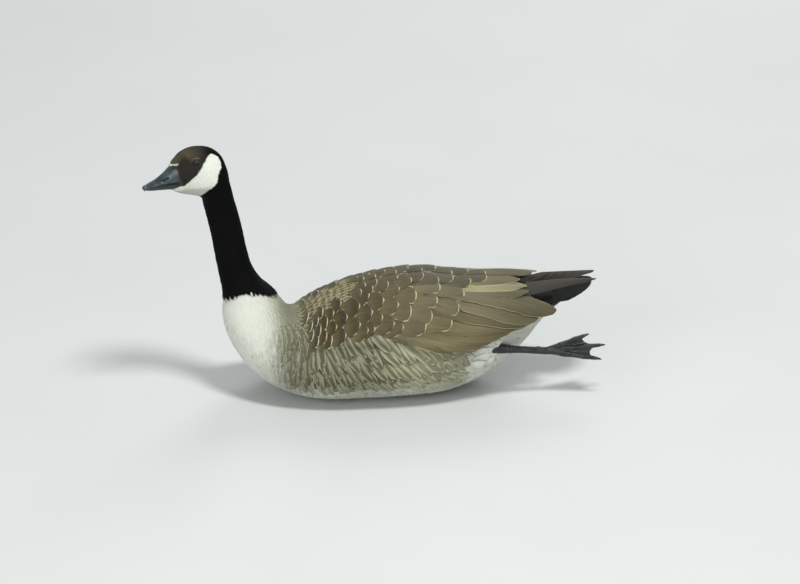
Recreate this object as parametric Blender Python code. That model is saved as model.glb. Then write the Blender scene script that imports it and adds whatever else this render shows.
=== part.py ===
"""Canada goose afloat, set down on its belly: a still, life-size model.

The bird's own drawing is in centimetres: x runs from bill to tail, y to its right side and z up from the
level it rests on. The body is one lofted form: each station joins a point of the back to a point of the
belly, and the tail root, torso, neck and head are lengths of that form, parted by thin cuts. The wings and
the tail carry their feathers as overlapping vanes.
"""

import math

import bmesh
import bpy
import numpy as np

CM = 0.01
GAP = 0.03  # cm left between neighbouring solids
RING_POINTS, TORSO_RINGS = 24, 22  # points round the body, and sections along the torso
EYE_RADIUS = 0.55
EYE_CENTRE = (-32.35, 1.98, 39.95)
HEAD_TURN = math.radians(14)  # the head looks a little to the bird's left
TURN_AXIS_X = -27.2
TURN_FROM_Z, TURN_TO_Z = 23.0, 34.0

# Stations of the body from the tail root to the brow:
# back x, back z, belly x, belly z, half width, shift of the widest line towards the back.
STATIONS = np.array([
    (25.6, 14.70, 25.9, 13.90, 1.6, 0.00),
    (23.2, 15.00, 24.0, 12.50, 2.9, 0.00),
    (20.0, 15.60, 21.8, 10.40, 4.3, 0.00),
    (16.5, 16.30, 19.6, 7.60, 5.9, 0.05),
    (12.5, 16.90, 16.6, 4.60, 7.6, 0.05),
    (8.0, 17.50, 12.4, 1.80, 9.4, -0.02),
    (3.5, 17.90, 6.6, -0.10, 10.8, -0.08),
    (-1.0, 17.60, 0.0, -0.50, 11.4, -0.10),
    (-5.5, 16.75, -6.5, -0.55, 11.4, -0.10),
    (-9.5, 15.45, -13.0, -0.35, 11.0, -0.10),
    (-12.9, 13.80, -18.7, 1.20, 9.9, -0.08),
    (-15.3, 12.85, -23.3, 4.30, 8.4, -0.05),
    (-17.0, 13.40, -26.3, 8.60, 6.7, 0.00),
    (-18.6, 15.40, -27.5, 12.60, 5.0, 0.00),
    (-20.3, 17.30, -27.4, 15.20, 3.8, 0.00),
    (-21.9, 19.10, -27.5, 17.40, 3.1, 0.00),
    (-23.1, 21.40, -28.0, 20.00, 2.6, 0.00),
    (-23.8, 24.00, -28.6, 23.20, 2.35, 0.00),
    (-24.4, 27.00, -29.2, 26.60, 2.20, 0.00),
    (-25.1, 30.00, -29.85, 29.40, 2.12, 0.00),
    (-25.8, 32.60, -30.4, 31.50, 2.15, 0.00),
    (-26.5, 35.20, -30.8, 32.70, 2.30, -0.05),
    (-27.3, 37.40, -31.4, 33.30, 2.50, -0.10),
    (-28.4, 39.40, -32.2, 33.65, 2.66, -0.15),
    (-30.1, 40.90, -33.1, 33.90, 2.68, -0.18),
    (-32.2, 41.30, -34.0, 34.15, 2.52, -0.18),
    (-34.1, 40.85, -34.8, 34.45, 2.20, -0.20),
    (-35.4, 39.95, -35.4, 34.75, 1.78, -0.20),
    (-36.0, 39.15, -35.8, 34.95, 1.42, -0.20),
])
TAIL_CUT, NECK_CUT, HEAD_CUT, BROW = 2.0, 14.0, 20.5, 28.0

# The body with its folded wings, by x: x, height of the widest line, half width there, height of the top.
FOLDED_WING = np.array([
    (-16.0, 8.8, 8.9, 12.7),
    (-12.4, 9.0, 10.6, 14.8),
    (-9.3, 9.3, 11.1, 16.25),
    (-5.0, 9.5, 11.6, 17.55),
    (0.0, 9.6, 11.7, 18.45),
    (4.0, 9.7, 11.4, 18.6),
    (8.0, 9.9, 10.8, 18.0),
    (12.0, 10.3, 9.9, 17.75),
    (16.0, 11.0, 8.8, 17.7),
    (20.0, 12.0, 7.5, 17.4),
    (24.0, 13.0, 6.3, 17.0),
    (31.0, 14.5, 5.0, 17.0),
])
BELOW_WIDEST = 8.0  # how far the folded form reaches below its widest line
NEAREST_MIDDLE = math.radians(2.5)  # the wings' feathers stop this far from the middle of the back

CORE_DEPTH, CORE_THICKNESS = 0.32, 1.6  # the wing's core under its feathers
CORE_X = (-14.3, 17.0)
VANE = 0.085  # thickness of a feather vane


def smooth(value):
    """Eases from 0 to 1 while value runs from 0 to 1."""
    t = np.clip(value, 0.0, 1.0)
    return t * t * (3 - 2 * t)


def through(knots, rows, at):
    """Smooth curve through the rows at these knots, read at the places in at."""
    slopes = np.gradient(rows, knots, axis=0)
    i = np.clip(np.searchsorted(knots, at, side="right") - 1, 0, len(knots) - 2)
    step = (knots[i + 1] - knots[i])[:, None]
    t = (at - knots[i])[:, None] / step
    return (
        rows[i] * (2 * t**3 - 3 * t**2 + 1)
        + slopes[i] * step * (t**3 - 2 * t**2 + t)
        + rows[i + 1] * (3 * t**2 - 2 * t**3)
        + slopes[i + 1] * step * (t**3 - t**2)
    )


def turned(points):
    """The head's turn, which fades out down the neck."""
    points = np.array(points, float)
    angle = HEAD_TURN * smooth((points[..., 2] - TURN_FROM_Z) / (TURN_TO_Z - TURN_FROM_Z))
    x, y = points[..., 0] - TURN_AXIS_X, points[..., 1].copy()
    points[..., 0] = TURN_AXIS_X + x * np.cos(angle) - y * np.sin(angle)
    points[..., 1] = x * np.sin(angle) + y * np.cos(angle)
    return points


def ring(row, count, swell=0.0):
    """One closed section between a back point and a belly point, grown outwards by swell."""
    back, belly = np.array(row[0:2]), np.array(row[2:4])
    centre, reach = (back + belly) / 2, (back - belly) / 2
    reach = reach * (1 + swell / np.linalg.norm(reach))
    angle = np.linspace(0, 2 * np.pi, count, endpoint=False)
    along, side = np.cos(angle), np.sin(angle)
    along = along + row[5] * (1 - along**2)
    y = np.sign(side) * np.abs(side) ** 0.93 * (row[4] + swell)
    return np.stack([centre[0] + along * reach[0], y, centre[1] + along * reach[1]], 1)


def mesh_object(name, points, faces):
    """A new mesh object from points in centimetres."""
    mesh = bpy.data.meshes.new(name)
    mesh.from_pydata((np.asarray(points) * CM).tolist(), [], faces)
    made = bpy.data.objects.new(name, mesh)
    bpy.context.scene.collection.objects.link(made)
    clean = bmesh.new()
    clean.from_mesh(mesh)
    bmesh.ops.recalc_face_normals(clean, faces=clean.faces)
    clean.to_mesh(mesh)
    clean.free()
    return made


def loft(name, rings):
    """Closed solid through rings of equal count, each end closed by a fan."""
    rings = np.asarray(rings)
    count, around = rings.shape[:2]
    points = list(rings.reshape(-1, 3)) + [rings[0].mean(0), rings[-1].mean(0)]
    first, last = count * around, count * around + 1
    faces = []
    for j in range(around):
        k = (j + 1) % around
        for i in range(count - 1):
            a, b, c, d = i * around + j, i * around + k, (i + 1) * around + k, (i + 1) * around + j
            faces += [(a, b, c), (a, c, d)]
        faces += [(first, k, j), (last, (count - 1) * around + j, (count - 1) * around + k)]
    return mesh_object(name, points, faces)


def body_length(name, start, end, rings, swell=0.0, around=RING_POINTS):
    """The stretch of the body between two stations, resting flat on the floor where it is lowest."""
    rows = through(np.arange(len(STATIONS)), STATIONS, np.linspace(start, end, rings))
    points = np.array([ring(row, around, swell) for row in rows])
    points[..., 2] = np.maximum(points[..., 2], 0.0)
    return loft(name, turned(points))


def station_step(station):
    """How far apart, in stations, two sections are that leave the thin gap between solids."""
    near = through(np.arange(len(STATIONS)), STATIONS, np.array([station, station + 0.01]))
    apart = min(np.linalg.norm(near[1, 0:2] - near[0, 0:2]), np.linalg.norm(near[1, 2:4] - near[0, 2:4]))
    return 0.01 * 1.4 * GAP / apart


def tube(points, radii, sides=2):
    """Round bar through points whose radius changes along it, as a closed mesh."""
    curve = bpy.data.curves.new("bar", "CURVE")
    curve.dimensions = "3D"
    curve.bevel_depth = CM
    curve.bevel_resolution = sides
    curve.use_fill_caps = True
    line = curve.splines.new("POLY")
    line.points.add(len(points) - 1)
    for point, place, radius in zip(line.points, points, radii):
        point.co = (place[0] * CM, place[1] * CM, place[2] * CM, 1)
        point.radius = radius
    drawn = bpy.data.objects.new("line", curve)
    bpy.context.scene.collection.objects.link(drawn)
    graph = bpy.context.evaluated_depsgraph_get()
    mesh = bpy.data.meshes.new_from_object(drawn.evaluated_get(graph))
    made = bpy.data.objects.new("bar", mesh)
    bpy.context.scene.collection.objects.link(made)
    bpy.data.objects.remove(drawn)
    weld(made)
    return made


def weld(made):
    """Joins the caps of a tube to its sides and turns every face outwards."""
    clean = bmesh.new()
    clean.from_mesh(made.data)
    bmesh.ops.remove_doubles(clean, verts=clean.verts, dist=1e-6)
    bmesh.ops.recalc_face_normals(clean, faces=clean.faces)
    clean.to_mesh(made.data)
    clean.free()


def ball(name, centre, radii, segments=16, rings=10, lean=0.0):
    """Ellipsoid at centre, leaned about the sideways axis."""
    shape = bmesh.new()
    bmesh.ops.create_uvsphere(shape, u_segments=segments, v_segments=rings, radius=1.0)
    mesh = bpy.data.meshes.new(name)
    shape.to_mesh(mesh)
    shape.free()
    points = np.array([v.co for v in mesh.vertices]) * radii
    turned_x = points[:, 0] * math.cos(lean) + points[:, 2] * math.sin(lean)
    turned_z = -points[:, 0] * math.sin(lean) + points[:, 2] * math.cos(lean)
    points = np.stack([turned_x, points[:, 1], turned_z], 1) + centre
    mesh.vertices.foreach_set("co", (points * CM).ravel())
    made = bpy.data.objects.new(name, mesh)
    bpy.context.scene.collection.objects.link(made)
    return made


def boolean(target, others, operation):
    """Joins the others to target, or cuts them from it, then removes them."""
    tools = bpy.data.collections.new("tools")
    for other in others:
        tools.objects.link(other)
    modifier = target.modifiers.new(operation.lower(), "BOOLEAN")
    modifier.operation = operation
    modifier.operand_type = "COLLECTION"
    modifier.collection = tools
    modifier.solver = "MANIFOLD"
    graph = bpy.context.evaluated_depsgraph_get()
    mesh = bpy.data.meshes.new_from_object(target.evaluated_get(graph))
    target.modifiers.clear()
    target.data = mesh
    for other in others:
        bpy.data.objects.remove(other)
    bpy.data.collections.remove(tools)
    keep_largest(target)
    return target


def keep_largest(made):
    """Leaves a node its largest closed surface only."""
    shape = bmesh.new()
    shape.from_mesh(made.data)
    bmesh.ops.dissolve_limit(shape, angle_limit=0.002, verts=shape.verts, edges=shape.edges)
    bmesh.ops.triangulate(shape, faces=shape.faces)
    unseen, parts = set(shape.verts), []
    while unseen:
        group, todo = set(), [unseen.pop()]
        while todo:
            vert = todo.pop()
            group.add(vert)
            for edge in vert.link_edges:
                other = edge.other_vert(vert)
                if other in unseen:
                    unseen.discard(other)
                    todo.append(other)
        parts.append(group)
    if len(parts) > 1:
        sizes = []
        for group in parts:
            faces = {face for vert in group for face in vert.link_faces}
            volume = sum(f.verts[0].co.dot(f.verts[1].co.cross(f.verts[2].co)) for f in faces)
            sizes.append(abs(volume))
        largest = parts[sizes.index(max(sizes))]
        spare = [vert for group in parts if group is not largest for vert in group]
        bmesh.ops.delete(shape, geom=spare, context="VERTS")
    shape.to_mesh(made.data)
    shape.free()


def folded_point(x, phi, height, side):
    """Place on the body with folded wings: phi runs down from the top, height is above that form."""
    rows = through(FOLDED_WING[:, 0], FOLDED_WING[:, 1:], np.ravel(x))
    middle, half, top = (rows[:, i].reshape(np.shape(x)) for i in range(3))
    rise = np.where(np.cos(phi) > 0, top - middle, BELOW_WIDEST)
    normal = np.stack([np.zeros_like(half), np.sin(phi) / half, np.cos(phi) / rise], -1)
    normal = normal / np.linalg.norm(normal, axis=-1, keepdims=True)
    place = np.stack([np.asarray(x, float), half * np.sin(phi), middle + rise * np.cos(phi)], -1)
    place = place + normal * np.asarray(height)[..., None]
    return place * (1, side, 1)


VANE_T = np.array([0.0, 0.45, 0.85, 1.0])
BROAD_TIP = np.array([0.60, 0.95, 0.92, 0.42])
LONG_TIP = np.array([0.70, 1.00, 0.86, 0.26])


def plate(name, top, bottom):
    """Thin closed plate between two grids of points, its triangles alike on both faces."""
    rows, columns = top.shape[:2]
    points = np.concatenate([top.reshape(-1, 3), bottom.reshape(-1, 3)])
    under = rows * columns
    faces = []
    for i in range(rows - 1):
        for j in range(columns - 1):
            a = i * columns + j
            b, c, d = a + 1, a + columns + 1, a + columns
            for tri in ((a, b, c), (a, c, d)):
                faces += [tri, tuple(under + v for v in reversed(tri))]
    rim = [j for j in range(columns)] + [i * columns + columns - 1 for i in range(1, rows)]
    rim += [(rows - 1) * columns + j for j in range(columns - 2, -1, -1)]
    rim += [i * columns for i in range(rows - 2, 0, -1)]
    for a, b in zip(rim, rim[1:] + rim[:1]):
        faces += [(b, a, under + a), (b, under + a, under + b)]
    return mesh_object(name, points, faces)


def wing_vane(side, root, tip, half, heights, roll=0.06, shape=BROAD_TIP, bow=0.0):
    """One wing feather from root to tip, each an (x, phi in degrees) place on the folded form."""
    across = np.array([-1.0, 0.0, 1.0])
    t = VANE_T
    x = root[0] + (tip[0] - root[0]) * t
    phi = np.radians(root[1] + (tip[1] - root[1]) * t + bow * np.sin(np.pi * t))
    radius = 9.5
    along = np.array([tip[0] - root[0], math.radians(tip[1] - root[1]) * radius])
    along = along / np.linalg.norm(along)
    wide = half * shape
    spread_x = x[:, None] - wide[:, None] * across * along[1]
    spread_phi = np.maximum(phi[:, None] + wide[:, None] * across * along[0] / radius, NEAREST_MIDDLE)
    height = heights[0] + (heights[1] - heights[0]) * np.sin(0.5 * np.pi * t) ** 1.2
    height = height[:, None] + roll * across + 0.04 * (1 - across**2)
    thick = VANE * np.array([1.0, 1.0, 0.95, 0.75])[:, None] / 2
    top = folded_point(spread_x, spread_phi, height + thick, side)
    bottom = folded_point(spread_x, spread_phi, height - thick, side)
    return plate("vane", top, bottom)


def free_vane(line, half, lean, shape=LONG_TIP):
    """One feather along a free line of points, its blade leaned by lean about that line."""
    line = np.asarray(line, float)
    line = through(np.linspace(0, 1, len(line)), line, VANE_T)
    ahead = np.gradient(line, axis=0)
    ahead = ahead / np.linalg.norm(ahead, axis=1, keepdims=True)
    level = np.cross(ahead, (0, 0, 1))
    level = level / np.linalg.norm(level, axis=1, keepdims=True)
    up = np.cross(level, ahead)
    side = level * math.cos(lean) + up * math.sin(lean)
    normal = np.cross(side, ahead)
    across = np.array([-1.0, 0.0, 1.0])[None, :, None]
    blade = line[:, None] + side[:, None] * across * (half * shape)[:, None, None]
    blade = blade + normal[:, None] * 0.05 * (1 - across**2)
    return plate("vane", blade + normal[:, None] * VANE / 2, blade - normal[:, None] * VANE / 2)


# Rows of coverts and scapulars from the shoulder back: how far back the row's tips reach at its top, how
# much less at its foot, feather length, half width, how many, and the row's top and foot in degrees.
COVERT_ROWS = (
    (-10.2, 0.6, 4.1, 1.75, 4, 15, 64),
    (-6.6, 1.0, 5.4, 1.95, 4, 14, 67),
    (-2.6, 1.6, 6.2, 2.10, 4, 15, 69),
    (2.0, 2.4, 7.2, 2.30, 4, 15, 70),
    (7.0, 3.2, 8.2, 2.40, 4, 16, 71),
)
# Tertials and secondaries: root x, root degrees, tip x, tip degrees, half width.
LONG_FEATHERS = (
    (2.6, 76, 11.4, 86, 1.7),
    (5.0, 75, 14.4, 86, 1.8),
    (5.5, 72, 17.0, 83, 1.9),
    (6.0, 68, 19.0, 78, 2.0),
    (6.5, 60, 23.4, 73, 2.2),
    (6.5, 48, 22.2, 57, 2.1),
    (7.0, 35, 20.8, 40, 2.0),
    (7.0, 21, 19.4, 23, 1.8),
    (6.0, 9, 17.0, 9, 1.5),
)
PRIMARY_COUNT = 4
PRIMARY_ROOT, PRIMARY_BEND = (11.0, 6.0, 14.8), (20.0, 4.0, 16.25)
PRIMARY_TIP = (30.2, 1.55, 16.95)
PRIMARY_LEAN = math.radians(22)
PRIMARY_STEP = (-1.9, 0.38, 0.05)  # from the longest primary's tip to the next


def wing_core(side):
    """The wing under its feathers: a curved slab over the side of the back."""
    rings = []
    for x in np.linspace(*CORE_X, 11):
        blend = smooth((x - CORE_X[0]) / 5.0)
        taper = 1.1 * smooth((x - CORE_X[1]) / 6.0 + 1)
        phi = np.radians(np.linspace(15 - 4 * blend + 4 * taper, 60 + 16 * blend, 7))
        outer, inner = (
            folded_point(np.full(7, x), phi, np.full(7, -depth), side)
            for depth in (CORE_DEPTH + taper, CORE_DEPTH + CORE_THICKNESS)
        )
        rings.append(np.concatenate([outer, inner[::-1]]))
    return loft("core", rings)


def wing(name, side, torso_room):
    """One folded wing: coverts and scapulars in rows, secondaries, tertials and crossing primaries."""
    vanes = []
    for tip_x, less, length, half, count, top, foot in COVERT_ROWS:
        for i in range(count):
            part = i / (count - 1)
            phi = top + (foot - top) * part
            tip = tip_x - less * part + 0.5 * math.sin(math.pi * part)
            heights = (-CORE_DEPTH - 0.22, 0.0)
            vanes.append(wing_vane(side, (tip - length, phi - 2), (tip, phi), half, heights))
    for root_x, root_phi, tip_x, tip_phi, half in LONG_FEATHERS:
        root, tip, heights = (root_x, root_phi), (tip_x, tip_phi), (-CORE_DEPTH - 0.25, -0.10)
        vanes.append(wing_vane(side, root, tip, half, heights, 0.07, LONG_TIP))
    for i in range(PRIMARY_COUNT):
        root = np.array(PRIMARY_ROOT) + (0, 0.1 * i, 0.16 * i)
        bend = np.array(PRIMARY_BEND) + (-0.5 * i, 0.2 * i, 0.13 * i)
        tip = np.array(PRIMARY_TIP) + np.array(PRIMARY_STEP) * i
        line = np.array([root, (root + bend) / 2 + (0, 0.2, 0.15), bend, tip]) * (1, side, 1)
        vanes.append(free_vane(line, 1.15, side * PRIMARY_LEAN))
    made = boolean(wing_core(side), vanes, "UNION")
    boolean(made, [torso_room()], "DIFFERENCE")
    made.name = name
    return made


TAIL_PAIRS = 7
TAIL_ROOT_X, TAIL_LENGTH, TAIL_SPREAD = 21.8, 7.9, math.radians(19)


def tail():
    """The tail root with its coverts, and the black tail feathers fanned out of it."""
    root = body_length("tail", 0.0, TAIL_CUT - station_step(TAIL_CUT), 7, around=20)
    vanes = []
    for side in (-1, 1):
        for i in range(TAIL_PAIRS):
            turn = side * TAIL_SPREAD * (i + 0.3) / TAIL_PAIRS
            start = np.array([TAIL_ROOT_X, side * (0.2 + 0.32 * i), 14.35 - 0.11 * i + 0.055 * side])
            length = TAIL_LENGTH - 0.055 * i * i
            ahead = np.array([math.cos(turn), math.sin(turn), 0.26])
            line = np.array([start, start + ahead * length * 0.5, start + ahead * length])
            line[1:, 2] -= (0.0, 0.12)
            vanes.append(free_vane(line, 1.2, 0.0))
    return boolean(root, vanes, "UNION")


UPPER_BILL = np.array([  # culmen x, z, edge x, edge z, half width, shift
    (-36.04, 39.00, -35.91, 36.36, 1.32, -0.55),
    (-37.0, 38.15, -36.9, 36.33, 1.22, -0.60),
    (-38.1, 37.40, -38.0, 36.18, 1.08, -0.60),
    (-39.2, 36.66, -39.1, 36.00, 0.92, -0.55),
    (-40.0, 36.28, -39.95, 35.75, 0.70, -0.40),
    (-40.45, 35.90, -40.4, 35.42, 0.38, 0.00),
])
LOWER_BILL = np.array([
    (-35.91, 36.29, -35.85, 35.02, 1.12, 0.45),
    (-36.9, 36.26, -37.0, 35.10, 1.04, 0.50),
    (-38.1, 36.11, -38.2, 35.16, 0.90, 0.50),
    (-39.1, 35.93, -39.1, 35.22, 0.70, 0.45),
    (-39.7, 35.72, -39.7, 35.35, 0.38, 0.00),
])


def mandible(name, table):
    """Half of the bill, lofted through its sections."""
    rows = through(np.arange(len(table)), table, np.linspace(0, len(table) - 1, 2 * len(table) - 1))
    return loft(name, turned(np.array([ring(row, 16) for row in rows])))


def upper_bill():
    """The upper half of the bill, with its nail at the tip and a nostril cut in each side."""
    made = mandible("bill_upper", UPPER_BILL)
    nail = ball("nail", (-40.2, 0, 35.78), (0.30, 0.40, 0.42), 10, 7, math.radians(-35))
    nostrils = [
        ball("nostril", (-37.45, side * 1.04, 37.22), (0.62, 0.30, 0.20), 10, 6, math.radians(-30))
        for side in (-1, 1)
    ]
    for part in (nail, *nostrils):
        turn_object(part)
    boolean(made, [nail], "UNION")
    return boolean(made, nostrils, "DIFFERENCE")


def turn_object(made):
    """Gives a solid of the head the head's turn."""
    points = np.array([v.co for v in made.data.vertices]) / CM
    made.data.vertices.foreach_set("co", (turned(points) * CM).ravel())


def eye_place(side):
    return np.array(EYE_CENTRE) * (1, side, 1)


def eye(name, side):
    made = ball(name, eye_place(side), (EYE_RADIUS,) * 3, 14, 9)
    turn_object(made)
    return made


def head():
    """The head, with a lid round each eye and a socket cut for it."""
    start = HEAD_CUT + station_step(HEAD_CUT)
    made = body_length("head", start, BROW, 16, around=22)
    sockets = []
    for side in (-1, 1):
        socket = ball("socket", eye_place(side), (EYE_RADIUS + GAP * 1.4,) * 3, 14, 9)
        turn_object(socket)
        sockets.append(socket)
    boolean(made, [lids(side) for side in (-1, 1)], "UNION")
    return boolean(made, sockets, "DIFFERENCE")


def lids(side):
    """The rim of the eyelids as a flattened ring round the eye, leaned with the side of the head."""
    bpy.ops.mesh.primitive_torus_add(
        major_segments=14, minor_segments=6, major_radius=0.56 * CM, minor_radius=0.15 * CM
    )
    made = bpy.context.object
    points = np.array([v.co for v in made.data.vertices]) / CM
    points = np.stack([points[:, 0] * 1.08, points[:, 2] + side * 0.24, points[:, 1]], 1)
    lean = math.radians(12)
    y = points[:, 1] * math.cos(lean) - side * points[:, 2] * math.sin(lean)
    z = side * points[:, 1] * math.sin(lean) + points[:, 2] * math.cos(lean)
    points = np.stack([points[:, 0], y, z], 1) + eye_place(side)
    made.data.vertices.foreach_set("co", (turned(points) * CM).ravel())
    weld(made)
    return made


# Toes from the foot's joint: turn in degrees, towards the bird's middle, and length.
TOES = ((19, 6.6), (1, 8.5), (-16, 7.9))
TOE_RADIUS = 0.46
WEB = 0.12  # thickness of the web


def floored(made):
    """Flattens what would reach below the floor."""
    points = np.array([v.co for v in made.data.vertices])
    points[:, 2] = np.maximum(points[:, 2], 0.0)
    made.data.vertices.foreach_set("co", points.ravel())
    return made


def rolled(points, heading, pitch, roll):
    """Turns points of the foot's own frame: rolls it, tips its toes up, then heads it."""
    x, y, z = np.asarray(points, float).T
    y, z = y * math.cos(roll) - z * math.sin(roll), y * math.sin(roll) + z * math.cos(roll)
    x, z = x * math.cos(pitch) - z * math.sin(pitch), x * math.sin(pitch) + z * math.cos(pitch)
    x, y = x * math.cos(heading) - y * math.sin(heading), x * math.sin(heading) + y * math.cos(heading)
    return np.stack([x, y, z], 1)


def foot(name, base, heading, pitch, roll, spread, sag):
    """A webbed foot: three toes with claws, the webs between them and the small hind toe."""

    def placed(points):
        return rolled(points, heading, pitch, roll) + base

    t = np.linspace(0, 1, 6)
    lines, parts = [], []
    radii = TOE_RADIUS * np.array([1.2, 1.0, 1.05, 0.88, 0.92, 0.62])
    for turn, length in TOES:
        angle = math.radians(turn * spread)
        height = -sag * smooth(t * 2.5) + 0.10 * np.sin(t * np.pi * 3) ** 2 * (1 - t)
        lines.append(np.stack([math.cos(angle) * length * t, math.sin(angle) * length * t, height], 1))
    for line in lines:
        parts.append(tube(placed(line), radii, 1))
        ahead = (line[-1] - line[-2]) / np.linalg.norm(line[-1] - line[-2])
        claw = [line[-1] - ahead * 0.3, line[-1] + ahead * 0.35, line[-1] + ahead * 0.85 - (0, 0, 0.14)]
        parts.append(tube(placed(claw), (0.25, 0.19, 0.06), 1))
    for first, second in zip(lines, lines[1:]):
        parts.append(web(placed(first), placed(second)))
    hind = placed([(0, 0, 0), (-0.6, 0.6, -0.30), (-1.2, 1.05, -0.42)])
    parts.append(tube(hind, (0.34, 0.27, 0.12), 1))
    for part in parts:
        floored(part)
    made = boolean(parts[0], parts[1:], "UNION")
    made.name = name
    return made


def web(first, second):
    """The skin between two toes, a thin sheet that ends in a shallow curve before the claws."""
    t = np.linspace(0.02, 0.92, 5)
    at = np.linspace(0, 1, len(first))
    a, b = (np.stack([np.interp(t, at, line[:, i]) for i in range(3)], 1) for line in (first, second))
    middle = (a + b) / 2
    middle = middle - (middle - middle[0]) * 0.10 * t[:, None]
    sheet = np.stack([a, middle, b], 1)
    lift = np.cross(b[-1] - b[0], a[-1] - a[0])
    lift = lift / np.linalg.norm(lift) * WEB / 2
    return plate("web", sheet + lift, sheet - lift)


LEFT_THIGH, LEFT_ANKLE, LEFT_FOOT = (8.5, -6.4, 7.6), (13.2, -7.7, 8.7), (21.8, -6.6, 7.4)
RIGHT_THIGH, RIGHT_ANKLE, RIGHT_FOOT = (8.6, 6.6, 4.4), (9.8, 8.2, 1.2), (1.4, 9.2, 0.62)


def leg(name, thigh, ankle, toes_at, torso_room, foot_room):
    """The bare leg from where it leaves the flank feathers to the foot."""
    thigh, ankle, toes_at = (np.array(p, float) for p in (thigh, ankle, toes_at))
    shank = toes_at - ankle
    line = [thigh, (thigh + ankle) / 2, ankle, *(ankle + shank * part for part in (0.15, 0.5, 0.88, 1.0))]
    made = floored(tube(line, (1.15, 1.05, 0.85, 0.66, 0.52, 0.56, 0.60), 2))
    made.name = name
    boolean(made, [torso_room()], "DIFFERENCE")
    return boolean(made, [foot_room], "DIFFERENCE")


def swollen(source):
    """A copy grown by the thin gap, to cut its neighbour with."""
    mesh = source.data.copy()
    made = bpy.data.objects.new("room", mesh)
    bpy.context.scene.collection.objects.link(made)
    shape = bmesh.new()
    shape.from_mesh(mesh)
    shape.normal_update()
    moved = [v.co + v.normal * GAP * CM * 1.2 * min(v.calc_shell_factor(), 2.5) for v in shape.verts]
    for vert, place in zip(shape.verts, moved):
        vert.co = place
    shape.to_mesh(mesh)
    shape.free()
    return made


def room_of(start, end, rings):
    """Makes copies of a stretch of the body, grown by the thin gap."""
    return lambda: body_length("room", start, end, rings, swell=GAP * 1.2)


def material(name, colour, roughness):
    made = bpy.data.materials.new(name)
    made.use_nodes = True
    shader = made.node_tree.nodes["Principled BSDF"]
    shader.inputs["Base Color"].default_value = (*colour, 1)
    shader.inputs["Roughness"].default_value = roughness
    shader.inputs["Metallic"].default_value = 0.0
    return made


COLOURS = {
    "torso": ((0.46, 0.41, 0.33), 0.85),
    "neck": ((0.012, 0.012, 0.013), 0.8),
    "head": ((0.02, 0.018, 0.016), 0.8),
    "wing": ((0.20, 0.155, 0.105), 0.75),
    "tail": ((0.03, 0.027, 0.025), 0.7),
    "bill": ((0.022, 0.024, 0.028), 0.45),
    "eye": ((0.012, 0.008, 0.006), 0.08),
    "leg": ((0.03, 0.03, 0.03), 0.5),
}


def stand_on_origin(parts):
    """Shifts every solid so that the whole stands centred over the origin."""
    points = np.concatenate([np.array([v.co for v in part.data.vertices]) for part in parts])
    low, high = points.min(0), points.max(0)
    shift = -np.array([(low[0] + high[0]) / 2, (low[1] + high[1]) / 2, low[2]])
    for part in parts:
        own = np.array([v.co for v in part.data.vertices]) + shift
        part.data.vertices.foreach_set("co", own.ravel())
        part.data.update()


def main():
    for old in list(bpy.data.objects):
        bpy.data.objects.remove(old)
    torso_room = room_of(TAIL_CUT, NECK_CUT, TORSO_RINGS)
    torso = body_length("torso", TAIL_CUT, NECK_CUT, TORSO_RINGS)
    neck_start = NECK_CUT + station_step(NECK_CUT)
    neck = body_length("neck", neck_start, HEAD_CUT, 11, around=20)
    feet = [
        foot("foot_left", LEFT_FOOT, math.radians(1), math.radians(3), math.radians(46), 0.9, 0.15),
        foot("foot_right", RIGHT_FOOT, math.radians(180), 0.0, 0.0, 0.8, 0.26),
    ]
    legs = [
        leg("leg_left", LEFT_THIGH, LEFT_ANKLE, LEFT_FOOT, torso_room, swollen(feet[0])),
        leg("leg_right", RIGHT_THIGH, RIGHT_ANKLE, RIGHT_FOOT, torso_room, swollen(feet[1])),
    ]
    kinds = {
        "torso": [torso],
        "neck": [neck],
        "head": [head()],
        "wing": [wing("wing_left", -1, torso_room), wing("wing_right", 1, torso_room)],
        "tail": [tail()],
        "bill": [upper_bill(), mandible("bill_lower", LOWER_BILL)],
        "eye": [eye("eye_left", -1), eye("eye_right", 1)],
        "leg": legs + feet,
    }
    bird = bpy.data.collections.new("canada_goose")
    bpy.context.scene.collection.children.link(bird)
    for kind, parts in kinds.items():
        skin = material(kind, *COLOURS[kind])
        for part in parts:
            part.data.materials.clear()
            part.data.materials.append(skin)
            for owner in list(part.users_collection):
                owner.objects.unlink(part)
            bird.objects.link(part)
    stand_on_origin([part for parts in kinds.values() for part in parts])


main()
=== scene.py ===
"""Canada goose set down on its belly, life size: the looks built over its solids.

The bird is drawn in centimetres: x runs from bill to tail, y to its right side and z up from the level it
rests on. One lofted form gives the skin. Every feather is a thin closed blade whose root is sunk in the skin
and whose blade follows the form, so that rows lie over one another from bill to tail.
"""

import math

import bmesh
import bpy
import numpy as np
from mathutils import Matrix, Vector, kdtree


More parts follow.
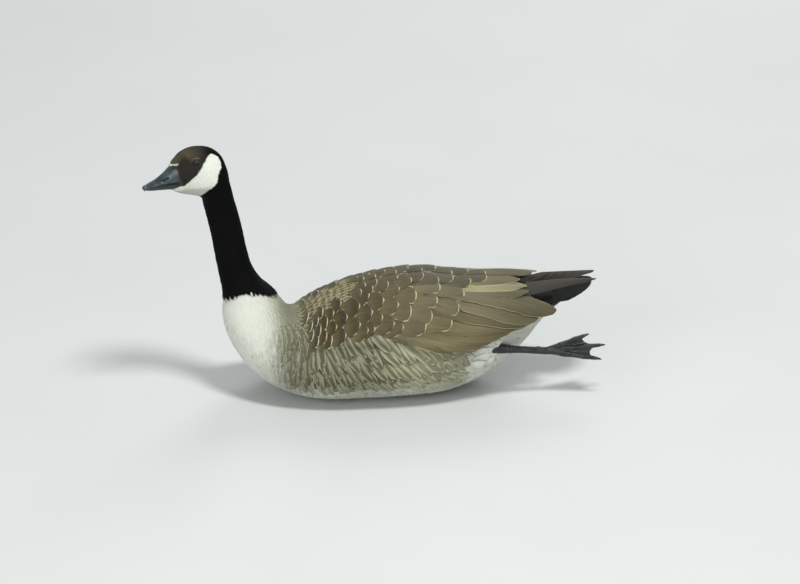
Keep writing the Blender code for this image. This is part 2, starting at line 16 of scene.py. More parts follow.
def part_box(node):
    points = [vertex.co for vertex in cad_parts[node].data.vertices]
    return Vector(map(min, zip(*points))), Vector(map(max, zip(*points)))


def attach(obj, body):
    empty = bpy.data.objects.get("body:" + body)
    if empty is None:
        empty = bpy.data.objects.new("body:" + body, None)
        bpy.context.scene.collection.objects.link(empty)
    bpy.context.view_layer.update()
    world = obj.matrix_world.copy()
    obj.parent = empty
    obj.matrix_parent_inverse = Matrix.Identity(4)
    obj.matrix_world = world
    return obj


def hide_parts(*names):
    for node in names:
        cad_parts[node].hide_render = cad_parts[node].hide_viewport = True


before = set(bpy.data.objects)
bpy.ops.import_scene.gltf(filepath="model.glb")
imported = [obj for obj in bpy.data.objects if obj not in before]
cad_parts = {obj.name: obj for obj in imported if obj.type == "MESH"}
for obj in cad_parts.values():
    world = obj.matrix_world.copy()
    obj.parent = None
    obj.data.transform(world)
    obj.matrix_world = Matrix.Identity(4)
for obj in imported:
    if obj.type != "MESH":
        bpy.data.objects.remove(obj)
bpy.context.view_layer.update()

bl_info = {
    "name": "Canada goose plumage",
    "version": (1, 0, 0),
    "blender": (4, 5, 0),
    "location": "3D View > Sidebar > Goose",
    "description": "Skin, feathers, bill, eyes and feet of a life-size Canada goose",
    "category": "Add Mesh",
}

CM = 0.01

# Stations of the body from the tail root to the brow:
# back x, back z, belly x, belly z, half width, shift of the widest line towards the back.
STATIONS = np.array([
    (25.6, 14.70, 25.9, 13.90, 1.6, 0.00),
    (23.2, 15.00, 24.0, 12.50, 2.9, 0.00),
    (20.0, 15.60, 21.8, 10.40, 4.3, 0.00),
    (16.5, 16.30, 19.6, 7.60, 5.9, 0.05),
    (12.5, 16.90, 16.6, 4.60, 7.6, 0.05),
    (8.0, 17.50, 12.4, 1.80, 9.4, -0.02),
    (3.5, 17.90, 6.6, -0.10, 10.8, -0.08),
    (-1.0, 17.60, 0.0, -0.50, 11.4, -0.10),
    (-5.5, 16.75, -6.5, -0.55, 11.4, -0.10),
    (-9.5, 15.45, -13.0, -0.35, 11.0, -0.10),
    (-12.9, 13.80, -18.7, 1.20, 9.9, -0.08),
    (-15.3, 12.85, -23.3, 4.30, 8.4, -0.05),
    (-17.0, 13.40, -26.3, 8.60, 6.7, 0.00),
    (-18.6, 15.40, -27.5, 12.60, 5.0, 0.00),
    (-20.3, 17.30, -27.4, 15.20, 3.8, 0.00),
    (-21.9, 19.10, -27.5, 17.40, 3.1, 0.00),
    (-23.1, 21.40, -28.0, 20.00, 2.6, 0.00),
    (-23.8, 24.00, -28.6, 23.20, 2.35, 0.00),
    (-24.4, 27.00, -29.2, 26.60, 2.20, 0.00),
    (-25.1, 30.00, -29.85, 29.40, 2.12, 0.00),
    (-25.8, 32.60, -30.4, 31.50, 2.15, 0.00),
    (-26.4, 35.25, -30.8, 32.70, 2.30, -0.05),
    (-26.9, 37.50, -31.4, 33.30, 2.50, -0.10),
    (-27.9, 39.65, -32.2, 33.65, 2.66, -0.15),
    (-29.7, 41.05, -33.1, 33.90, 2.68, -0.18),
    (-32.1, 41.48, -34.0, 34.15, 2.52, -0.18),
    (-34.0, 41.00, -34.8, 34.45, 2.20, -0.20),
    (-35.3, 39.90, -35.4, 34.75, 1.78, -0.20),
    (-36.0, 39.15, -35.8, 34.95, 1.42, -0.20),
])
BROW = len(STATIONS) - 1.0

# The body with its folded wings, by x: x, height of the widest line, half width there, height of the top.
FOLDED_WING = np.array([
    (-16.0, 8.8, 8.9, 12.7),
    (-12.4, 9.0, 10.6, 14.8),
    (-9.3, 9.3, 11.1, 16.25),
    (-5.0, 9.5, 11.6, 17.55),
    (0.0, 9.6, 11.7, 18.45),
    (4.0, 9.7, 11.4, 18.6),
    (8.0, 9.9, 10.8, 18.0),
    (12.0, 10.3, 9.9, 17.75),
    (16.0, 11.0, 8.8, 17.7),
    (20.0, 12.0, 7.5, 17.4),
    (24.0, 13.0, 6.3, 17.0),
    (31.0, 14.5, 5.0, 17.0),
])
BELOW_WIDEST = 8.0
EYE_RADIUS = 0.55
EYE_CENTRE = (-32.35, 1.98, 39.95)
HEAD_TURN = math.radians(14)
TURN_AXIS_X = -27.2
TURN_FROM_Z, TURN_TO_Z = 23.0, 34.0
WATERLINE = 6.3


def smooth(value):
    """Eases from 0 to 1 while value runs from 0 to 1."""
    t = np.clip(value, 0.0, 1.0)
    return t * t * (3 - 2 * t)


def unit(vectors):
    return vectors / np.maximum(np.linalg.norm(vectors, axis=-1, keepdims=True), 1e-9)


def through(knots, rows, at):
    """Smooth curve through the rows at these knots, read at the places in at."""
    slopes = np.gradient(rows, knots, axis=0)
    i = np.clip(np.searchsorted(knots, at, side="right") - 1, 0, len(knots) - 2)
    step = (knots[i + 1] - knots[i])[:, None]
    t = (at - knots[i])[:, None] / step
    return (
        rows[i] * (2 * t**3 - 3 * t**2 + 1)
        + slopes[i] * step * (t**3 - 2 * t**2 + t)
        + rows[i + 1] * (3 * t**2 - 2 * t**3)
        + slopes[i + 1] * step * (t**3 - t**2)
    )


def turned(points):
    """The head's turn, which fades out down the neck."""
    points = np.array(points, float)
    angle = HEAD_TURN * smooth((points[..., 2] - TURN_FROM_Z) / (TURN_TO_Z - TURN_FROM_Z))
    x, y = points[..., 0] - TURN_AXIS_X, points[..., 1].copy()
    points[..., 0] = TURN_AXIS_X + x * np.cos(angle) - y * np.sin(angle)
    points[..., 1] = x * np.sin(angle) + y * np.cos(angle)
    return points


def section(rows, angle):
    """Places round each section: one row of the stations for each row of angles."""
    back, belly = rows[:, 0:2], rows[:, 2:4]
    centre, reach = ((back + belly) / 2)[:, None], ((back - belly) / 2)[:, None]
    along, side = np.cos(angle)[..., None], np.sin(angle)
    along = along + rows[:, 5][:, None, None] * (1 - along**2)
    flat = centre + along * reach
    y = np.sign(side) * np.abs(side) ** 0.93 * rows[:, 4][:, None]
    return np.stack([flat[..., 0], y, flat[..., 1]], -1)


def folded_point(x, phi, height, side):
    """Place on the body with folded wings: phi runs down from the top, height is above that form."""
    rows = through(FOLDED_WING[:, 0], FOLDED_WING[:, 1:], np.ravel(x))
    middle, half, top = (rows[:, i].reshape(np.shape(x)) for i in range(3))
    rise = np.where(np.cos(phi) > 0, top - middle, BELOW_WIDEST)
    normal = unit(np.stack([np.zeros_like(half), np.sin(phi) / half, np.cos(phi) / rise], -1))
    place = np.stack([np.asarray(x, float), half * np.sin(phi), middle + rise * np.cos(phi)], -1)
    place = place + normal * np.asarray(height)[..., None]
    return place * np.stack(np.broadcast_arrays(1.0, side, 1.0), -1)


def folded_angle(points):
    """How far down the folded form these places are, in radians."""
    flat = points.reshape(-1, 3)
    rows = through(FOLDED_WING[:, 0], FOLDED_WING[:, 1:], np.clip(flat[:, 0], -16.0, 31.0))
    up = flat[:, 2] - rows[:, 0]
    rise = np.where(up > 0, rows[:, 2] - rows[:, 0], BELOW_WIDEST)
    return np.arctan2(np.abs(flat[:, 1]) / rows[:, 1], up / rise).reshape(points.shape[:-1])


BILL_BORDER = np.array([  # z, x of the feathers' front edge
    (34.3, -35.8), (35.0, -35.6), (35.3, -34.6), (35.8, -34.2), (36.6, -34.6), (37.5, -34.95), (38.6, -35.0),
    (39.1, -35.3), (39.5, -36.0), (40.0, -36.3),
])


def bill_border(z):
    """How far forward the face feathers reach at height z."""
    return np.interp(z, BILL_BORDER[:, 0], BILL_BORDER[:, 1])


class Form:
    """The coat's outer form as a fine grid: u counts stations from the tail root, v runs round a section."""

    PER_STATION, ROUND = 24, 288

    def __init__(self):
        count = int(BROW) * self.PER_STATION + 1
        self.u = np.linspace(0, BROW, count)
        self.v = np.linspace(-np.pi, np.pi, self.ROUND, endpoint=False)
        rows = through(np.arange(len(STATIONS)), STATIONS, self.u)
        plain = section(rows, np.broadcast_to(self.v, (count, self.ROUND)))
        plain = self.over_wings(plain)
        self.head = self.tucked(plain)
        self.place = turned(self.head)
        self.along, self.round = self.slopes(self.place)
        self.normal = self.outward()
        free = self.place.copy()
        free[..., 2] = np.maximum(free[..., 2], 0.0)
        self.place = free
        self.tree = None

    def over_wings(self, points):
        """Raises the back to the form of the folded wings."""
        phi = folded_angle(points)
        x = points[..., 0]
        wings = folded_point(np.clip(x, -16.0, 31.0), phi, np.zeros_like(x), 1.0)
        wings[..., 1] *= np.sign(points[..., 1])
        share = smooth((x + 17.5) / 3.0) * smooth((14.5 - x) / 6.0) * (1 - smooth((np.degrees(phi) - 70) / 14))
        wings[..., 0] = x
        return points + (wings - points) * share[..., None]

    def tucked(self, points):
        """Draws the skin of the face in under the bill's root, and hollows it round the eyes."""
        points = points.copy()
        x, y, z = points[..., 0], points[..., 1], points[..., 2]
        ahead = smooth((bill_border(z) - x) / 0.55) * smooth((-x - 33.0) / 0.8) * (z > 30)
        points[..., 1] = y * (1 - 0.30 * ahead)
        reach = np.hypot((x - EYE_CENTRE[0]) / 1.15, z - EYE_CENTRE[2]) * (1 + 4 * (z < 30))
        socket = 0.13 * (1 - smooth((reach - 0.35) / 0.7))
        brow = 0.035 * np.exp(-(((x - EYE_CENTRE[0] + 0.1) / 0.9) ** 2) - ((z - EYE_CENTRE[2] - 0.85) / 0.35) ** 2)
        points[..., 1] -= np.sign(y) * (socket - brow) * smooth((np.abs(y) - 0.7) / 0.8)
        return points

    @staticmethod
    def slopes(points):
        along = np.gradient(points, axis=0) * Form.PER_STATION
        ahead, behind = np.roll(points, -1, axis=1), np.roll(points, 1, axis=1)
        return along, (ahead - behind) * Form.ROUND / (4 * np.pi)

    def outward(self):
        normal = unit(np.cross(self.round, self.along))
        centre = self.place.mean(1, keepdims=True)
        inward = np.mean(np.sum(normal * (self.place - centre), -1)) < 0
        return -normal if inward else normal

    def look(self, grid, u, v):
        """Reads a grid between its points."""
        a = np.clip(np.asarray(u, float), 0, BROW) * self.PER_STATION
        b = (np.asarray(v, float) + np.pi) / (2 * np.pi) * self.ROUND
        i = np.clip(a.astype(int), 0, len(self.u) - 2)
        j = np.floor(b).astype(int)
        fa, fb = (a - i)[..., None], (b - j)[..., None]
        j, k = j % self.ROUND, (j + 1) % self.ROUND
        near = grid[i, j] * (1 - fb) + grid[i, k] * fb
        far = grid[i + 1, j] * (1 - fb) + grid[i + 1, k] * fb
        return near * (1 - fa) + far * fa

    def at(self, u, v):
        """Place on the form, which runs on straight past its ends."""
        over = np.asarray(u, float) - np.clip(u, 0, BROW)
        return self.look(self.place, u, v) + self.look(self.along, u, v) * over[..., None]

    def move(self, u, v, step):
        """Where a step along the surface leads, in u and v."""
        along, round_ = self.look(self.along, u, v), self.look(self.round, u, v)
        a, b, c = (np.sum(p * q, -1) for p, q in ((along, along), (along, round_), (round_, round_)))
        p, q = np.sum(step * along, -1), np.sum(step * round_, -1)
        det = np.maximum(a * c - b * b, 1e-6)
        return u + np.clip((c * p - b * q) / det, -3, 3), v + np.clip((a * q - b * p) / det, -1, 1)

    def nearest(self, points):
        """The u and v of the grid points nearest to these places."""
        if self.tree is None:
            flat = self.place[::3, ::3].reshape(-1, 3)
            self.tree = kdtree.KDTree(len(flat))
            for i, p in enumerate(flat):
                self.tree.insert(p, i)
            self.tree.balance()
        found = np.array([self.tree.find(p)[1] for p in points])
        columns = len(self.v[::3])
        return self.u[::3][found // columns], self.v[::3][found % columns]


FORM = Form()


def coat_depth(u):
    """How deep the skin lies under the coat's outer form."""
    return np.interp(u, [0, 2, 8, 9.5, 13, 15, 20, 23, 26, 28], [0.2, 0.24, 0.24, 0.12, 0.11, 0.16, 0.14, 0.09, 0.06, 0.04])


def to_frame(points):
    """From the drawing's centimetres to the frame's metres, by where the eyes are."""
    return (np.asarray(points) - EYES_DRAWN) * CM + EYES_PLACED


EYES_DRAWN = turned(np.array([EYE_CENTRE, np.multiply(EYE_CENTRE, (1, -1, 1))])).mean(0)
EYES_PLACED = np.mean([np.add(*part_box(name)) / 2 for name in ("eye_left", "eye_right")], axis=0)


# ---- markings ----


CHEEK_FRONT = np.array([  # z, x
    (35.1, -36.5), (35.5, -35.2), (36.0, -34.43), (36.8, -33.64), (37.6, -32.54), (38.8, -31.55), (39.5, -30.98),
    (40.1, -30.53), (40.45, -29.9),
])
CHEEK_REAR = np.array([
    (33.2, -31.9), (33.9, -31.48), (34.8, -30.84), (35.5, -29.77), (36.15, -29.2), (37.4, -28.87), (38.2, -28.25),
    (38.9, -28.2), (39.85, -28.65), (40.4, -29.5),
])


def cheek_patch(p):
    """1 inside the white cheek and chin patch of the unturned head, with a soft edge."""
    x, z = p[..., 0], p[..., 2]
    front = np.interp(z, CHEEK_FRONT[:, 0], CHEEK_FRONT[:, 1])
    rear = np.interp(z, CHEEK_REAR[:, 0], CHEEK_REAR[:, 1])
    inside = np.minimum(np.minimum(x - front, rear - x), 40.42 - z)
    return smooth(inside / 0.10 + 0.5)


def neck_border(v):
    """The station where the black neck begins, round the section."""
    return 14.25 + 0.47 * np.sin(v) ** 2 - 0.9 * ((1 + np.cos(v)) / 2) ** 4


def mixed(a, b, share):
    return a + (b - a) * np.asarray(share)[..., None]


def plumage(goose, u, v):
    """Centre and edge colours of the coat at these places, the same for the skin and the feathers, with painted shade
    under the jaw and a painted highlight along the bill's base.
    """
    p = FORM.look(FORM.place, u, v)
    own = FORM.look(FORM.head, u, v)
    x, y, z = p[..., 0], np.abs(p[..., 1]), p[..., 2]
    back = smooth((1.15 - np.abs(v)) / 0.5)
    white, black, brown = (np.array(c) for c in (goose.white, goose.black, goose.brown))
    cream, buff, grey = (np.array(c) for c in (goose.cream, goose.buff, goose.grey))
    centre = np.broadcast_to(white, p.shape).copy()
    edge = centre.copy()
    vent = smooth((x - 8.0 - 0.35 * np.maximum(z - 6.5, 0)) / 2.2)
    rear = smooth((x + 24.5 + 0.10 * (z - 10)) / 6.5) * smooth((z - 0.6) / 4.0) * (1 - vent)
    centre, edge = mixed(centre, grey, rear), mixed(edge, cream, rear * smooth((x + 22.0) / 5.0))
    flank = smooth((x + 19.5) / 4.5) * smooth((z - 2.2) / 3.6) * (1 - vent) * (1 - 0.6 * back)
    centre, edge = mixed(centre, np.array(goose.flank), flank), mixed(edge, cream, flank * smooth((x + 19.0) / 6.0))
    side = rear * smooth((x + 21.5) / 4.0) * (1 - smooth((x + 7.0) / 9.0))
    centre, edge = centre * (1 - 0.34 * side)[..., None], edge * (1 - 0.35 * side)[..., None]
    centre = mixed(centre, cream, 0.34 * flank * smooth((x + 3.0) / 7.0))
    mantle = smooth((np.interp(x, [-16, -13], [0.70, 1.0]) - np.abs(v)) / 0.35) * smooth((x + 17.0) / 2.6) * (1 - smooth((x - 14) / 2.0))
    centre, edge = mixed(centre, brown, mantle), mixed(edge, buff, mantle)
    rump = smooth((z - 12.0) / 1.6) * smooth((x - 9.0) / 2.0) * np.maximum(1 - smooth((x - 19.5) / 0.8), smooth((z - 12.4) / 0.5) * (x > 20.2))
    centre, edge = mixed(centre, black, rump), mixed(edge, black, rump)
    neck = smooth((u - neck_border(v)) / 0.06 + 0.5)
    centre, edge = mixed(centre, black, neck), mixed(edge, black, neck)
    face = smooth((u - 22.6) / 2.5) * smooth((-own[..., 0] - 29.2) / 2.6)
    lores = 1.5 * np.exp(-(((own[..., 0] + 34.0) / 1.1) ** 2))
    olive = smooth((own[..., 2] - 38.5 - lores) / 1.3) * smooth((-own[..., 0] - 30.0) / 5.2) * (u > 23)
    centre = mixed(mixed(centre, np.array(goose.face), face), np.array(goose.forehead), olive)
    edge = mixed(mixed(edge, np.array(goose.face), face), np.array(goose.forehead), olive)
    # Painted highlight: a pale line in the cheek's colour along the forehead at the top of the bill's base, where light
    # catches the edge of the feathers.
    rise = own[..., 2] - 39.12 - 0.36 * (own[..., 0] + 36.0)
    line = smooth(1.6 - np.abs(rise) / 0.09) * smooth((-own[..., 0] - 34.85) / 0.3) * (u > 24)
    patch = np.maximum(cheek_patch(own) * (u > 20.6), 0.7 * line)
    # Painted shade: the cheek patch darkens towards its underside, below the jaw's edge.
    cheek = np.array(goose.cheek) * (1 - 0.3 * smooth((35.9 - own[..., 2]) / 0.8))[..., None]
    return mixed(centre, cheek, patch), mixed(edge, cheek, patch)


# ---- blades: feathers as thin closed meshes ----

COVERT_TIP = np.array(
    [(0.0, 0.6), (0.3, 0.92), (0.6, 1.0), (0.75, 0.99), (0.84, 0.93), (0.91, 0.80), (0.96, 0.60), (1.0, 0.30)]
)
ROUND_TIP = np.array([(0.0, 0.42), (0.2, 0.70), (0.45, 0.95), (0.7, 1.0), (0.86, 0.88), (0.96, 0.58), (1.0, 0.26)])
SQUARE_TIP = np.array(
    [(0.0, 0.55), (0.3, 0.90), (0.6, 1.0), (0.82, 1.0), (0.90, 0.95), (0.95, 0.84), (0.98, 0.66), (1.0, 0.42)]
)
BROAD_TIP = np.array([(0.0, 0.50), (0.2, 0.80), (0.45, 1.0), (0.75, 1.0), (0.88, 0.90), (0.96, 0.68), (1.0, 0.36)])
LONG_TIP = np.array([(0.0, 0.45), (0.15, 0.78), (0.4, 1.0), (0.7, 0.97), (0.86, 0.78), (0.95, 0.50), (1.0, 0.20)])
STREAK_TIP = np.array([(0.0, 0.55), (0.25, 0.92), (0.5, 1.0), (0.75, 0.90), (0.9, 0.66), (1.0, 0.30)])
SOFT_TIP = np.array([(0.0, 0.45), (0.3, 0.90), (0.6, 1.0), (0.8, 0.80), (0.93, 0.46), (1.0, 0.12)])


class Plumes:
    """Blades gathered for one piece: upper surfaces, colours and roots, written out as one mesh."""

    def __init__(self):
        self.lots = []

    def add(self, top, centre, edge, fringe, place, thick=0.03, chance=None, bars=0.0, dark=0.0, start=0.15):
        """top is (blades, rows, columns, 3); the rest is one value, or one for each blade.

        fringe is the pale edge's width in cm, start where along the blade it begins, dark the band within it.
        """
        count, rows, columns = top.shape[:3]
        breadth = np.linalg.norm(top[:, rows // 2, -1] - top[:, rows // 2, 0], axis=1)
        length = np.linalg.norm(top[:, -1, columns // 2] - top[:, 0, columns // 2], axis=1)
        lot = {
            "top": top,
            "thick": np.broadcast_to(thick, count),
            "centre": np.broadcast_to(centre, (count, 3)),
            "edge": np.broadcast_to(edge, (count, 3)),
            "marks": np.stack([2 * fringe / breadth, fringe / length, np.broadcast_to(bars, count)], 1),
            "dark": np.broadcast_to(dark, count),
            "start": np.broadcast_to(start, count),
            "chance": np.linspace(0, 1, count) * 7.31 % 1 if chance is None else chance,
            "place": place,
        }
        self.lots.append(lot)

    def build(self, name, finish):
        """One mesh object from every blade, with its colours, vane coordinates and bake map."""
        places = np.concatenate([lot["place"] for lot in self.lots])
        cells, patch = bake_cells(places)
        verts, quads, vane, centre, edge, more, bands, spots, rims = ([] for _ in range(9))
        base, seen = 0, 0
        for lot in self.lots:
            top = lot["top"]
            count, rows, columns = top.shape[:3]
            down = np.cross(np.gradient(top, axis=2), np.gradient(top, axis=1))
            down = unit(down)
            under = (top + down * lot["thick"][:, None, None, None])[:, 1:-1, 1:-1]
            own = np.concatenate([top.reshape(count, -1, 3), under.reshape(count, -1, 3)], 1)
            upper = np.arange(rows * columns).reshape(rows, columns)
            lower = upper.copy()
            lower[1:-1, 1:-1] = rows * columns + np.arange((rows - 2) * (columns - 2)).reshape(rows - 2, columns - 2)
            up = np.stack([upper[:-1, :-1], upper[1:, :-1], upper[1:, 1:], upper[:-1, 1:]], -1).reshape(-1, 4)
            low = np.stack([lower[:-1, :-1], lower[:-1, 1:], lower[1:, 1:], lower[1:, :-1]], -1).reshape(-1, 4)
            each = own.shape[1]
            faces = np.concatenate([up, low])
            quads.append((faces[None] + (base + np.arange(count) * each)[:, None, None]).reshape(-1, 4))
            across = np.broadcast_to(np.linspace(-1, 1, columns), (rows, columns))
            along = np.broadcast_to(np.linspace(0, 1, rows)[:, None], (rows, columns))
            flat = np.stack([across, along], -1)
            flat = np.concatenate([flat.reshape(-1, 2), flat[1:-1, 1:-1].reshape(-1, 2)])
            rim = np.zeros((rows, columns), bool)
            rim[0], rim[-1], rim[:, 0], rim[:, -1] = True, True, True, True
            rims.append(np.tile(np.concatenate([rim.ravel(), np.zeros(each - rows * columns, bool)]), count))
            verts.append(own.reshape(-1, 3))
            chance = np.repeat(lot["chance"], each)
            vane.append(np.stack([np.tile(flat[:, 0], count), np.tile(flat[:, 1], count), chance], 1))
            centre.append(np.repeat(lot["centre"], each, axis=0))
            edge.append(np.repeat(lot["edge"], each, axis=0))
            more.append(np.repeat(lot["marks"], each, axis=0))
            bands.append(np.stack([np.repeat(lot["dark"], each), np.repeat(lot["start"], each), chance], 1))
            inside = np.stack([flat[:, 0] * 0.5 + 0.5, flat[:, 1]], 1) * patch
            spots.append((cells[seen : seen + count, None] + inside[None]).reshape(-1, 2))
            base += count * each
            seen += count
        quads = np.concatenate(quads)
        made = mesh_of(name, np.concatenate(verts), quads, finish)
        mesh = made.data
        write_colour(mesh, "centre", np.concatenate(centre))
        write_colour(mesh, "edge", np.concatenate(edge))
        write_vector(mesh, "vane", np.concatenate(vane))
        write_vector(mesh, "marks", np.concatenate(more))
        write_vector(mesh, "band", np.concatenate(bands))
        rims = np.concatenate(rims)
        ends = np.empty(len(mesh.edges) * 2, np.int32)
        mesh.edges.foreach_get("vertices", ends)
        sharp = mesh.attributes.new("sharp_edge", "BOOLEAN", "EDGE")
        sharp.data.foreach_set("value", rims[ends.reshape(-1, 2)].all(1))
        spots = np.concatenate(spots)
        corners = np.empty(len(mesh.loops), np.int32)
        mesh.loops.foreach_get("vertex_index", corners)
        mesh.uv_layers.new(name="OFBake").data.foreach_set("uv", spots[corners].astype(np.float32).ravel())
        return made


def bake_cells(places):
    """A cell of its own for each blade's colours, in rows and columns by where its root is on the skin's unwrap."""
    count = len(places)
    rows = math.ceil(math.sqrt(count))
    cells = np.empty((count, 2))
    by_row = np.argsort(places[:, 0], kind="stable")
    for row, start in enumerate(range(0, count, rows)):
        these = by_row[start : start + rows]
        order = these[np.argsort(places[these, 1], kind="stable")]
        cells[order, 0] = (np.arange(len(order)) + 0.15) / rows
        cells[order, 1] = (row + 0.15) / rows
    return cells, 0.7 / rows


def write_colour(mesh, name, values):
    layer = mesh.attributes.new(name, "FLOAT_COLOR", "POINT")
    layer.data.foreach_set("color", np.concatenate([values, np.ones((len(values), 1))], 1).astype(np.float32).ravel())


def write_vector(mesh, name, values):
    mesh.attributes.new(name, "FLOAT_VECTOR", "POINT").data.foreach_set("vector", values.astype(np.float32).ravel())


def mesh_of(name, points, faces, finish):
    """A smooth-shaded mesh object in the frame's metres from points in the drawing's centimetres."""
    mesh = bpy.data.meshes.new(name)
    faces = np.asarray(faces)
    sides = faces.shape[1]
    mesh.vertices.add(len(points))
    mesh.vertices.foreach_set("co", to_frame(points).astype(np.float32).ravel())
    mesh.loops.add(faces.size)
    mesh.loops.foreach_set("vertex_index", faces.astype(np.int32).ravel())
    mesh.polygons.add(len(faces))
    mesh.polygons.foreach_set("loop_start", np.arange(0, faces.size, sides, dtype=np.int32))
    mesh.polygons.foreach_set("use_smooth", np.ones(len(faces), bool))
    mesh.update(calc_edges=True)
    mesh.materials.append(finish)
    made = bpy.data.objects.new(name, mesh)
    bpy.context.scene.collection.objects.link(made)
    return made


def floored(points):
    """Eases feathers that would reach below the floor to lie just over it, one over another."""
    z = points[..., 2]
    soft = 0.07
    points[..., 2] = 0.03 + soft * np.logaddexp(0.0, (z - 0.03) / soft)
    return points


def lay(u, v, droop, length, half, low, high, shape=ROUND_TIP, rows=7, columns=5, cup=0.05, roll=0.0, press=0.0, bow=0.0):
    """Upper surfaces of feathers laid along the form from these roots.

    droop turns each towards the belly, press sinks its tip on to the feathers below.
    """
    count = len(u)
    droop, length, half, low, high, roll, bow = (
        np.broadcast_to(np.asarray(a, float), count) for a in (droop, length, half, low, high, roll, bow)
    )
    t = np.linspace(0, 1, rows)
    s = np.linspace(-1, 1, columns)
    wide = np.interp(t, shape[:, 0], shape[:, 1])
    top = np.empty((count, rows, columns, 3))
    u, v = np.array(u, float), np.array(v, float)
    for i in range(rows):
        if i:
            lie = lie_of(u, v, droop + bow * (t[i] - 0.5))
            u, v = FORM.move(u, v, lie * (length * (t[i] - t[i - 1]))[:, None])
        normal = FORM.look(FORM.normal, u, v)
        lie = lie_of(u, v, droop + bow * (t[i] - 0.5))
        across = np.cross(normal, lie)
        for j in range(columns):
            back = 0.10 * s[j] ** 2 * t[i] ** 2 * length
            step = across * (half * wide[i] * s[j])[:, None] - lie * back[:, None]
            a, b = FORM.move(u, v, step)
            height = low + (high - low) * t[i] ** 1.2 - cup * s[j] ** 2 + roll * s[j]
            height = height - press * float(smooth((t[i] - 0.7) / 0.3))
            spot = FORM.at(a, b) + FORM.look(FORM.normal, a, b) * height[:, None]
            top[:, i, j] = spot
    return floored(top)


def lie_of(u, v, droop):
    """Direction of the coat: towards the tail, turned down the side by droop."""
    normal = FORM.look(FORM.normal, u, v)
    tail = -unit(FORM.look(FORM.along, u, v))
    down = -normal * (np.array((0, 0, -1.0)) @ normal.T)[:, None] + (0, 0, -1.0)
    down = unit(down)
    return unit(tail * np.cos(droop)[:, None] + down * np.sin(droop)[:, None])


def lattice(rng, u_range, v_range, along, across, jitter=0.22):
    """Roots in staggered rows over a patch of the form, this far apart in centimetres."""
    fine = np.linspace(*u_range, 400)
    middle = np.full(400, (v_range[0] + v_range[1]) / 2)
    line = FORM.at(fine, middle)
    length = np.concatenate([[0], np.cumsum(np.linalg.norm(np.diff(line, axis=0), axis=1))])
    rows = max(2, round(length[-1] / along))
    us, vs = [], []
    for i, u in enumerate(np.interp((np.arange(rows) + 0.5) / rows * length[-1], length, fine)):
        angles = np.linspace(*v_range, 60)
        arc = FORM.at(np.full(60, u), angles)
        reach = np.concatenate([[0], np.cumsum(np.linalg.norm(np.diff(arc, axis=0), axis=1))])
        count = max(2, round(reach[-1] / across))
        at = (np.arange(count) + 0.25 + 0.5 * (i % 2) + rng.uniform(-jitter, jitter, count)) / count
        step = (u_range[1] - u_range[0]) / rows
        us.append(u + rng.uniform(-jitter, jitter, count) * step)
        vs.append(np.interp(at * reach[-1], reach, angles))
    return np.concatenate(us), np.concatenate(vs)


def shaded(rng, colour, spread=0.08):
    """The colours with each feather a little lighter or darker than its neighbours."""
    return np.clip(colour * (1 + rng.normal(0, spread, (len(colour), 1))), 0.002, 0.97)


# ---- materials ----


class Wire:
    """A link or value in a material's nodes, so that shader maths reads as a formula."""

    def __init__(self, tree, socket):
        self.tree, self.socket = tree, socket

    def maths(self, operation, first, second=None):
        node = self.tree.nodes.new("ShaderNodeMath")
        node.operation = operation
        for socket, value in zip(node.inputs, (first, second)):
            if isinstance(value, Wire):
                self.tree.links.new(value.socket, socket)
            elif value is not None:
                socket.default_value = value
        return Wire(self.tree, node.outputs[0])

    def __add__(self, other):
        return self.maths("ADD", self, other)

    def __sub__(self, other):
        return self.maths("SUBTRACT", self, other)

    def __rsub__(self, other):
        return self.maths("SUBTRACT", other, self)

    def __mul__(self, other):
        return self.maths("MULTIPLY", self, other)

    def __pow__(self, other):
        return self.maths("POWER", self, other)

    def __truediv__(self, other):
        return self.maths("DIVIDE", self, other)

    __radd__, __rmul__ = __add__, __mul__

    def size(self):
        return self.maths("ABSOLUTE", self)

    def sine(self):
        return self.maths("SINE", self)

    def most(self, other):
        return self.maths("MAXIMUM", self, other)


